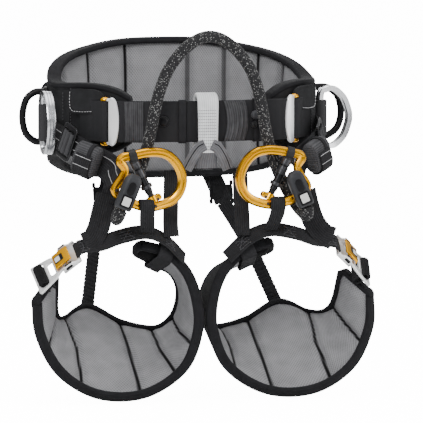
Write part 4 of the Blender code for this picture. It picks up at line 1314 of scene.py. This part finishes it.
# %% Side rings, tabs and gear loops
RING_ANGLE, RING_OFFSET, RING_HALF = 94, 0.0075, 0.0315
LAYERS = [(2.6, 4.9), (2.9, 4.3), (2.9, 2.2), (2.0, 1.6), (2.9, 1.0)]
LOOP_ANGLE = 86
LOOP_REACH = {"left": 0.0285, "right": 0.0365}
for end, side in SIDES:
    hinge = on_belt(RING_ANGLE, RING_OFFSET, 0, side)
    swing = FRONT if side < 0 else (Vector((0.98, 0.2, 0))).normalized()
    shape = [(0.0, RING_HALF - 0.008), (0.006, RING_HALF - 0.001), (0.016, RING_HALF)]
    shape += [(0.028, RING_HALF - 0.010), (0.034, RING_HALF - 0.024), (0.035, 0.0)]
    shape += [(u, -z) for u, z in reversed(shape[:-1])]
    path = loop_curve([hinge + swing * u + Vector((0, 0, z - 0.0055)) for u, z in shape], 96)
    face = swing.cross(UP)
    probe = framed(path, face, True)[24]
    outward = 1 if probe[1].dot(probe[0] - hinge - swing * 0.017) > 0 else -1
    half = [(outward * x / 1000, y / 1000) for x, y in LAYERS]
    inner = [
        (-outward * 0.0026, -0.0040), (-outward * 0.0030, -0.0030), (-outward * 0.0030, 0.0030),
        (-outward * 0.0026, 0.0040)
    ]
    outline = half + [(x, -y) for x, y in half[::-1]] + inner
    bm = sweep(path, face, outline, closed=True)
    finish_piece(
        "hip_ring_" + end, bm, polished_ring, "side_ring_" + end, ("side_d_ring_" + end,),
        sharp=35
    )
    out = belt_out(RING_ANGLE, side)
    back = UP.cross(out) * side
    if back.y < 0:
        back = -back
    wrap = [on_belt(RING_ANGLE - 9, 0.0014, -0.005, side), on_belt(RING_ANGLE - 4, 0.0020, -0.006, side)]
    for i in range(13):
        turn = math.radians(-60 - 240 * i / 12)
        wrap.append(hinge + UP * -0.006 + (back * math.cos(turn) + out * math.sin(turn)) * 0.0062)
    wrap += [on_belt(RING_ANGLE - 6, 0.0080, -0.006, side), on_belt(RING_ANGLE - 12, 0.0034, -0.005, side)]
    bm = sweep(wrap, UP, [(y, x) for x, y in flat_outline(0.0400, 0.0022)][::-1])
    finish_piece("hip_ring_tab_" + end, bm, grey_tab, "belt")
    reach = LOOP_REACH[end]
    run = [(0.0040, 0.0270), (0.52 * reach, 0.0265), (0.86 * reach, 0.018), (reach, 0)]
    run += [(0.88 * reach, -0.018), (0.52 * reach, -0.0275), (0.0040, -0.0280)]
    path = curve([on_belt(LOOP_ANGLE, o, z, side) for o, z in run], 60)
    bm = round_bar(path, Vector((0, 1, 0)), 0.0039, 16)
    finish_piece(
        "gear_loop_tube_" + end, bm, gear_rubber, "belt", ("gear_loop_" + end,), sharp=0
    )
    run = [
        (0.0030, 0.030), (0.010, 0.031), (0.0155, 0.020), (0.0165, 0.0), (0.0150, -0.022), (0.010, -0.032),
        (0.0030, -0.031)
    ]
    path = curve([on_belt(62, o, z, side) for o, z in run], 44)
    finish_piece(
        "rear_gear_loop_" + end, round_bar(path, Vector((0, 1, 0)), 0.0034, 14), gear_rubber, "belt",
        sharp=0
    )
    ends = []
    for angle, heights in ((LOOP_ANGLE, (0.0265, -0.0275)), (62, (0.030, -0.031))):
        for z in heights:
            patch = place_at(on_belt(angle, 0.0026, z, side), UP.cross(belt_out(angle, side)), UP)
            ends.append(cut_plate([rounded_box(0.016, 0.012, 0.003)], 0.0030, 0.0008, patch))
    finish_piece("gear_loop_ends_" + end, joined(*ends), lock_plastic, "belt", sharp=40)
print("side rings and gear loops made")

# %% Side straps with their stripes


STRIPE_LIFT, STRIPE_WIDTH, STRIPE_DEPTH = 0.0011, 0.0007, 0.0004


def stripes(name, path, facing, places, body):
    """Thin woven lines along a strap, laid on its outer face."""
    made = []
    for x in places:
        line = [point + across * x + through * STRIPE_LIFT for point, across, through in framed(path, facing)]
        made.append(sweep(line, facing, flat_outline(STRIPE_WIDTH, STRIPE_DEPTH)))
    return finish_piece(name, joined(*made), pale_thread, body, sharp=0)


for end, side in SIDES:
    run = [(100, 0.0020, -0.014), (109, 0.0060, -0.018), (118, 0.0125, -0.023), (127, 0.0165, -0.031)]
    run += [(135, 0.0190, -0.039), (141.5, 0.0235, -0.047)]
    points = [on_belt(a, o, z, side) for a, o, z in run]
    points += flip([(0.1045, -0.115, -0.0555), (0.104, -0.1262, -0.0625)], side)
    path = curve(points, 56)
    facing = [belt_out(min(140, 100 + 40 * i / 36), side) for i in range(len(path))]
    strap("hip_strap_" + end, path, facing, 0.025, "belt", ("side_strap_" + end,), 0.0020)
    stripes("hip_strap_stripes_" + end, path, facing, (-0.0048, 0.0048), "belt")
    tail = curve(
        [on_belt(128, 0.0180, -0.036, side), on_belt(137, 0.0215, -0.050, side)] + flip(
            [(0.1060, -0.1130, -0.0640), (0.1085, -0.1125, -0.0790), (0.1110, -0.1140, -0.0860)], side
        ),
        30
    )
    tail_face = [belt_out(140, side) * (1 - 0.6 * i / 30) + FRONT * (0.6 * i / 30) for i in range(31)]
    strap("hip_strap_fold_" + end, tail, tail_face, 0.018, "belt", (), 0.0026)

# %% Slides, folded webbing and the rolled tails
for end, side in SIDES:
    out = belt_out(119, side)
    along = (on_belt(122, 0.0148, -0.027, side) - on_belt(116, 0.0112, -0.021, side)).normalized()
    across = along.cross(out).normalized()
    middle = on_belt(119, 0.0133, -0.0238, side) + out * 0.0030
    place = place_at(middle, along, across)
    windows = [shifted_by(rounded_box(0.0068, 0.0290, 0.0012), u, 0) for u in (-0.0060, 0.0060)]
    slide = cut_plate([rounded_box(0.0240, 0.0400, 0.0042), *windows], 0.0026, 0.0008, place)
    finish_piece(
        "hip_slide_" + end, slide, black_alloy, "adjuster_" + end,
        ("side_adjuster_" + end,), sharp=40
    )
    folds = []
    for u, lift, wide in ((-0.0060, 0.0030, 0.0255), (0.0, 0.0046, 0.0262), (0.0060, 0.0034, 0.0255)):
        hump = []
        for k in range(11):
            a = math.pi * k / 10
            hump.append(middle + along * (u + 0.0026 * math.cos(a)) + out * (lift * math.sin(a) - 0.0004))
        folds.append(sweep(hump, across, [(y, x) for x, y in flat_outline(wide, 0.0015)][::-1]))
    finish_piece("hip_slide_webbing_" + end, joined(*folds), highlit_gathered_webbing, "adjuster_" + end)

    centre = on_belt(133, 0.0340, -0.040, side)
    out = belt_out(133, side)
    along = (on_belt(136, 0.0340, -0.042, side) - on_belt(130, 0.0340, -0.036, side)).normalized()
    across = along.cross(out).normalized()
    layers = []
    for k in range(5):
        wide, deep = 0.0355 - 0.0034 * k, 0.0195 - 0.0034 * k
        half = 0.0128 + (0.0008 if k % 2 else 0.0) + 0.0003 * k
        run = [centre + along * (half * x) for x in (-1, -0.97, -0.86, -0.4, 0, 0.4, 0.86, 0.97, 1)]
        size = [0.90, 0.955, 0.985, 1, 1.01, 1, 0.985, 0.955, 0.90]
        layers.append(sweep(run, out, rounded_box(wide, deep, deep * 0.46, 5), scale=[(s, s) for s in size]))
    finish_piece(
        "rolled_tail_" + end, joined(*layers), highlit_gathered_webbing, "belt",
        ("webbing_roll_" + end,), sharp=50
    )
    lines = []
    for v in (-0.0030, 0.0070):
        run = [
            centre + along * (0.0097 * x) + across * (v if across.z < 0 else -v) + out * 0.0127
            for x in (-1, 0, 1)
        ]
        lines.append(sweep(run, out, flat_outline(0.0007, 0.0005)))
    finish_piece("rolled_tail_stripes_" + end, joined(*lines), pale_thread, "belt", sharp=0)
    ring = [
        centre + along * 0.0045 * side * -1 + across * x + out * y for x,
        y in rounded_box(0.0372, 0.0212, 0.0098, 6)
    ]
    finish_piece(
        "tail_keeper_" + end, sweep(ring, along, flat_outline(0.0014, 0.0046), closed=True), elastic_cloth,
        "belt"
    )
    tip = [
        centre + across * v + out * w for v,
        w in (
            (-0.006, 0.0108), (0.002, 0.0116), (0.0105, 0.0112), (0.0165, 0.0075), (0.0195, 0.0010),
            (0.0190, -0.0050)
        )
    ]
    if (tip[-1] - centre).z > 0:
        tip = [centre - across * (p - centre).dot(across) + out * (p - centre).dot(out) for p in tip]
    strap(
        "folded_tip_" + end, curve(tip, 16),
        [along.cross(d).normalized() for d in directions(curve(tip, 16))], 0.0200, "belt", (), 0.0022
    )
print("hip straps made")

# %% [markdown]
# ## Straps to the leg loops
# Three straps hang from the front of the belt to each leg loop and an elastic riser holds it up behind. They
# cross the hip joint, so each is made as one piece of cloth from the belt to its leg loop, riding on neither
# body.

# %% Straps that cross the hip
RISER = [
    (0.0684, 0.0812, -0.1060), (0.0780, 0.0640, -0.1260), (0.0885, 0.0455, -0.1490),
    (0.1075, -0.0018, -0.2112)
]
REAR = Vector((0, 1, 0.3)).normalized()


def crossing(name, path, facing, width, node, thickness=0.0020):
    """A strap from the belt to a leg loop, riding on neither body."""
    made = strap(name, path, facing, width, None, (node,), thickness)
    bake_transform(made)
    return made


for end, side in SIDES:
    inner = curve(
        flip(
            [
                (0.0385, -0.1120, -0.0530), (0.0395, -0.1135, -0.085), (0.0405, -0.1160, -0.1120),
                (0.0400, -0.1195, -0.1250)
            ],
            side
        ),
        24
    )
    crossing("inner_riser_" + end, inner, FRONT, 0.017, "inner_strap_" + end)
    over = [
        (0.0735, -0.1290, -0.0870), (0.0735, -0.1400, -0.0825), (0.0735, -0.1462, -0.0890),
        (0.0732, -0.1430, -0.0990)
    ]
    ring_line = curve(flip(over + [(0.0715, -0.1360, -0.1090), (0.0695, -0.1262, -0.1185)], side), 26)
    around = [way.cross(Vector((1, 0, 0))) * -1 for way in directions(ring_line)]
    crossing("ring_riser_" + end, ring_line, around, 0.0165, "ring_leg_strap_" + end)
    outer = curve(
        flip(
            [
                (0.1115, -0.1145, -0.0780), (0.1160, -0.1135, -0.0960), (0.1215, -0.1175, -0.1130),
                (0.1300, -0.1245, -0.1255), (0.1400, -0.1275, -0.1300)
            ],
            side
        ),
        30
    )
    crossing("outer_riser_" + end, outer, FRONT, 0.025, "outer_strap_" + end, 0.0022)
    line = flip(RISER, side)
    crossing("rear_riser_" + end, curve(line[:3], 12), REAR, 0.0160, "riser_webbing_" + end)
    start, stop = Vector((side * 0.0888, 0.0448, -0.1500)), line[-1]
    ribs, fine = 15, 8
    path = [start.lerp(stop, i / (ribs * fine)) for i in range(ribs * fine + 1)]
    swell = [abs(math.sin(math.pi * i / fine)) ** 0.6 for i in range(len(path))]
    bm = sweep(
        path, REAR, flat_outline(0.0128, 0.0044, 0.48, 3),
        scale=[(1 + 0.17 * w, 1 + 0.55 * w) for w in swell]
    )
    elastic = finish_piece(
        "elastic_gathers_" + end, bm, elastic_cloth, None, ("elastic_riser_" + end,), sharp=0
    )
    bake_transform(elastic)
    edges = leg_edges(side)
    low, high, inward = min((edges(k / 200) for k in range(30, 170)), key=lambda e: (e[1] - stop).length)
    down = (low - high).normalized()
    foot = [stop - (stop - start).normalized() * 0.007, stop - inward * 0.001]
    foot += [high - inward * 0.0062 + down * 0.004, high - inward * 0.0075 + down * 0.020]
    strap("riser_foot_" + end, curve(foot, 16), -inward, 0.0150, "leg_loop_" + end, (), 0.0020)
    top = curve(
        flip(
            [
                (0.0560, 0.0965, -0.0700), (0.0600, 0.0945, -0.0800), (0.0665, 0.0850, -0.0980),
                (0.0690, 0.0812, -0.1060)
            ],
            side
        ),
        12
    )
    strap("riser_anchor_" + end, top, REAR, 0.0205, "belt", (), 0.0026)
    down = Vector((side * 0.05, -0.30, -0.95)).normalized()
    place = place_at(Vector((side * 0.0670, 0.0860, -0.0950)), Vector((1, 0, 0)), down)
    windows = [shifted_by(rounded_box(0.0190, 0.0035, 0.0010), 0, y) for y in (-0.0035, 0.0035)]
    lock = cut_plate([rounded_box(0.0270, 0.0170, 0.0030), *windows], 0.0034, 0.0009, place)
    for x in (-0.0122, 0.0122):
        for y in (-0.0105, 0.0105):
            lock = joined(
                lock,
                cut_plate([shifted_by(rounded_box(0.0034, 0.0060, 0.0014), x, y)], 0.0034, 0.0008, place)
            )
    through = cut_plate([rounded_box(0.0200, 0.0150, 0.0010)], 0.0044, 0.0008, place)
    finish_piece("riser_lock_webbing_" + end, through, black_webbing, "belt")
    finish_piece(
        "riser_lock_" + end, lock, lock_plastic, "belt", ("ladder_lock_" + end,), sharp=40
    )
print("hip-crossing straps made")

# %% [markdown]
# ## Leg buckles
# The buckle body is a bent alloy channel with a gold lever on a pin. The tongue is a flat alloy plate
# with two windows; the loop's webbing is folded round its outer bar. The frame's own solids have the
# right shape for the body, the lever and the pin, so copies of them only get their edges rounded.

# %% Rounded copies of frame pieces


def rounded_copy(name, node, finish, body, width, segments=2):
    """A merged copy of a frame piece with its sharp edges rounded."""
    bm = bmesh.new()
    bm.from_mesh(frame["nodes"][node].data)
    bmesh.ops.remove_doubles(bm, verts=bm.verts[:], dist=1e-6)
    bmesh.ops.dissolve_limit(bm, angle_limit=math.radians(2), verts=bm.verts[:], edges=bm.edges[:])
    sharp = [e for e in bm.edges if len(e.link_faces) == 2 and e.calc_face_angle() > math.radians(25)]
    bmesh.ops.bevel(
        bm, geom=sharp, offset=width, affect="EDGES", segments=segments, profile=0.5, material=-1,
        clamp_overlap=True
    )
    return finish_piece(name, bm, finish, body, (node,), sharp=35)


BUCKLE_ORIGIN = Vector((0.1545, -0.1185, -0.1430))
BUCKLE_ALONG = Vector((0.693, 0.383, -0.610)).normalized()
BUCKLE_OUT = Vector((0.74, -0.49, 0.46))


def buckle_axes(side):
    mirror = Vector((side, 1, 1))
    out = (BUCKLE_OUT - BUCKLE_ALONG * BUCKLE_OUT.dot(BUCKLE_ALONG)).normalized()
    return BUCKLE_ORIGIN * mirror, BUCKLE_ALONG * mirror, out.cross(BUCKLE_ALONG) * mirror, out * mirror


for end, side in SIDES:
    leg = "leg_loop_" + end
    origin, along, across, out = buckle_axes(side)

    def at(u, v, w):
        return origin + (along * u + across * v + out * w) / 1000

    rounded_copy("buckle_channel_" + end, "buckle_body_" + end, silver_alloy, leg, 0.0006)
    rounded_copy("lever_" + end, "buckle_lever_" + end, gold_alloy, "lever_" + end, 0.0007, 3)
    rounded_copy("pin_" + end, "lever_pin_" + end, steel, leg, 0.0003)
    place = place_at(at(10.6, 0, 6.35), along, across)
    frame_cut = cut_plate([rounded_box(0.0115, 0.0092, 0.0012)], 0.0010, 0.0002, place)
    finish_piece("lever_inset_" + end, frame_cut, lock_plastic, "lever_" + end, sharp=40)
    inner_place = place_at(at(12.2, 0, 6.75), along, across)
    finish_piece(
        "lever_window_" + end,
        cut_plate([rounded_box(0.0066, 0.0066, 0.0010)], 0.0006, 0.0001, inner_place), blank_label,
        "lever_" + end, sharp=40
    )
    slots = []
    for v in (-10.9, 10.9):
        slots.append(
            cut_plate(
                [rounded_box(0.0095, 0.0019, 0.0009)], 0.0008, 0.0002,
                place_at(at(3.6, v * 1.262, 4.8), along, across)
            )
        )
    for v in (-15.0, 15.0):
        slots.append(
            cut_plate(
                [rounded_box(0.0085, 0.0034, 0.0012)], 0.0010, 0.0002, place_at(at(5.0, v, 0.6), along, out)
            )
        )
    finish_piece("buckle_slots_" + end, joined(*slots), lock_plastic, leg, sharp=40)
    rim = [
        (-16, 18.6), (-15.2, 19.7), (-14, 20), (6, 16.3), (10, 15.2), (15, 12.2), (18, 11.5), (21.5, 11.2),
        (23, 10)
    ]
    rim = [(u / 1000, v / 1000) for u, v in rim + [(u, -v) for u, v in rim[::-1]]]
    big = shifted_by(rounded_box(0.0108, 0.0300, 0.0030), -0.0058, 0)
    small = shifted_by(rounded_box(0.0072, 0.0170, 0.0012), 0.0070, 0)
    tongue = cut_plate([rim, big, small], 0.0032, 0.0009, place_at(at(33.0, 0, -1.0), -along, across))
    finish_piece(
        "tongue_" + end, tongue, silver_alloy, leg, ("buckle_tongue_" + end,), sharp=40
    )
    fold = [at(u, 0, w) for u, w in ((35.6, -13.5), (35.9, -7.0), (35.6, -1.0))]
    for i in range(15):
        a = math.pi - math.pi * 1.05 * i / 14
        fold.append(at(39.6 + 4.0 * math.cos(a), 0, 1.2 + 3.2 * math.sin(a)))
    fold += [at(u, 0, w) for u, w in ((43.4, -5.0), (42.6, -13.0))]
    bm = sweep(fold, across, [(y, x) for x, y in flat_outline(0.0275, 0.0022)][::-1])
    finish_piece("tongue_fold_" + end, bm, black_webbing, leg, ("tongue_webbing_" + end,))
    ribs = []
    for i in range(7):
        a = math.pi * (0.16 + 0.68 * i / 6)
        spot = at(39.6 + 5.3 * math.cos(a), 0, 1.2 + 4.3 * math.sin(a))
        ribs.append(
            turned_bar(
                spot - across * 0.0134, spot + across * 0.0134,
                [(0, 0.0004), (0.03, 0.0009), (0.97, 0.0009), (1, 0.0004)], 8
            )
        )
    finish_piece("tongue_fold_ribs_" + end, joined(*ribs), black_webbing, leg, sharp=0)

# %% Top webbing over the thigh
WRAP_SHARE, WRAP_WIDTH, WRAP_ROOM = 0.905, 0.018, 0.0026

for end, side in SIDES:
    leg = "leg_loop_" + end
    origin, along, across, out = buckle_axes(side)
    points = [origin - along * 0.0075 - out * 0.0010, origin - along * 0.0170 - out * 0.0012]
    points += flip(
        [
            (0.122, -0.1215, -0.1315), (0.098, -0.1220, -0.1235), (0.070, -0.1200, -0.1195),
            (0.046, -0.1170, -0.1290), (0.024, -0.1120, -0.1500)
        ],
        side
    )
    path = curve(points, 60)
    facing = [Vector((side * (0.35 - 0.9 * i / 60), -0.62, 0.80)).normalized() for i in range(61)]
    strap("thigh_webbing_" + end, path, facing, 0.0220, leg, ("leg_top_strap_" + end,), 0.0024)
    bm = bmesh.new()
    for first, last in ((9, 15), (30, 36), (50, 56)):
        rows = framed(path, facing)[first:last]
        for x in (-0.0082, -0.0041, 0.0, 0.0041, 0.0082):
            stitch_row(
                bm, [p + a * x + t * 0.0015 for p, a, t in rows], facing[first], 0.0026, 0.0021, 0.0007
            )
        for lean in (1, -1):
            run = [
                p + a * (lean * 0.0088 * (2 * k / (len(rows) - 1) - 1)) + t * 0.0016 for k,
                (p, a, t) in enumerate(rows)
            ]
            stitch_row(bm, run, facing[first], 0.0022, 0.0019, 0.0008)
    finish_piece("bar_tacks_" + end, bm, grey_thread, leg, sharp=0)
    edges = leg_edges(side)
    low, high, inward = edges(WRAP_SHARE)
    ahead = edges(WRAP_SHARE + 0.01)
    way = ((ahead[0] + ahead[1]) - (low + high)).normalized()
    tall = (high - low).normalized()
    middle = (low + high) / 2 + inward * 0.0055
    rim = rounded_box((high - low).length + 2 * WRAP_ROOM, 0.0125 + 2 * WRAP_ROOM, 0.006, 6)
    ring = [middle + tall * x + inward * y for x, y in rim]
    bm = sweep(ring, way, flat_outline(0.0018, WRAP_WIDTH), closed=True)
    finish_piece("tongue_wrap_" + end, bm, black_webbing, leg)
print("leg straps made")

# %% [markdown]
# ## Studio
# A plain pale floor, a wide soft light from each side and above, and a long lens from the front, a little to
# the saddle's left and slightly above it.

# %% Floor, lights and camera
bm = bmesh.new()
bmesh.ops.create_grid(bm, x_segments=1, y_segments=1, size=40.0)
bmesh.ops.translate(bm, vec=(0, 0, cad_box[0].z - 0.002), verts=bm.verts[:])
floor_paint, tree, shader = new_finish("Pale floor")
shader.inputs["Base Color"].default_value = rgb(0.92, 0.92, 0.92)
shader.inputs["Roughness"].default_value = 0.9
shader.inputs["Emission Color"].default_value = rgb(1.0, 1.0, 1.0)
seen = tree.nodes.new("ShaderNodeLightPath").outputs["Is Camera Ray"]
tree.links.new(maths(tree, "MULTIPLY", seen, 14.0), shader.inputs["Emission Strength"])
floor_mesh = bpy.data.meshes.new("floor")
bm.to_mesh(floor_mesh)
bm.free()
floor = bpy.data.objects.new("floor", floor_mesh)
bpy.context.collection.objects.link(floor)
floor_mesh.materials.append(floor_paint)


def soft_light(name, place, aim, size, power):
    lamp = bpy.data.lights.new(name, "AREA")
    lamp.shape = "SQUARE"
    lamp.size, lamp.energy = size, power
    made = bpy.data.objects.new(name, lamp)
    bpy.context.collection.objects.link(made)
    made.location = place
    made.rotation_euler = (Vector(aim) - Vector(place)).to_track_quat("-Z", "Y").to_euler()


CENTRE = (0, -0.03, -0.1)
soft_light("key", (-0.9, -1.5, 1.1), CENTRE, 0.9, 30)
soft_light("fill", (1.4, -1.2, 0.5), CENTRE, 1.2, 16)
soft_light("top", (0.1, -0.1, 1.6), CENTRE, 1.3, 12)
soft_light("back", (0.3, 1.5, 0.9), CENTRE, 1.0, 12)
world = bpy.data.worlds.new("studio")
bpy.context.scene.world = world
world.use_nodes = True
sky = world.node_tree.nodes["Background"]
seen = world.node_tree.nodes.new("ShaderNodeLightPath").outputs["Is Camera Ray"]
sky.inputs["Color"].default_value = rgb(1.0, 1.0, 1.0)
heading = add_node(
    world.node_tree, "ShaderNodeSeparateXYZ",
    {0: world.node_tree.nodes.new("ShaderNodeTexCoord").outputs["Generated"]}
)
overhead = maths(
    world.node_tree, "MULTIPLY_ADD", maths(world.node_tree, "MAXIMUM", heading.outputs["Z"], 0.0), 1.1, 0.16
)
world.node_tree.links.new(
    maths(world.node_tree, "MULTIPLY_ADD", seen, 14.0, overhead), sky.inputs["Strength"]
)

azimuth, elevation = math.radians(-14), math.radians(5)
right = Vector((math.cos(azimuth), math.sin(azimuth), 0))
away = Vector((-math.sin(azimuth), math.cos(azimuth), 0)) * math.cos(elevation) - UP * math.sin(elevation)
above = right.cross(away)
lens_aim = right * 0.0335 + above * -0.108
eye = lens_aim - away * 7.813
camera = bpy.data.objects.new("camera", bpy.data.cameras.new("camera"))
bpy.context.collection.objects.link(camera)
camera.data.lens, camera.data.sensor_width = 600, 36
camera.location = eye
camera.rotation_euler = (lens_aim - eye).to_track_quat("-Z", "Y").to_euler()
bpy.context.scene.camera = camera
print("camera at", tuple(round(c, 3) for c in eye))
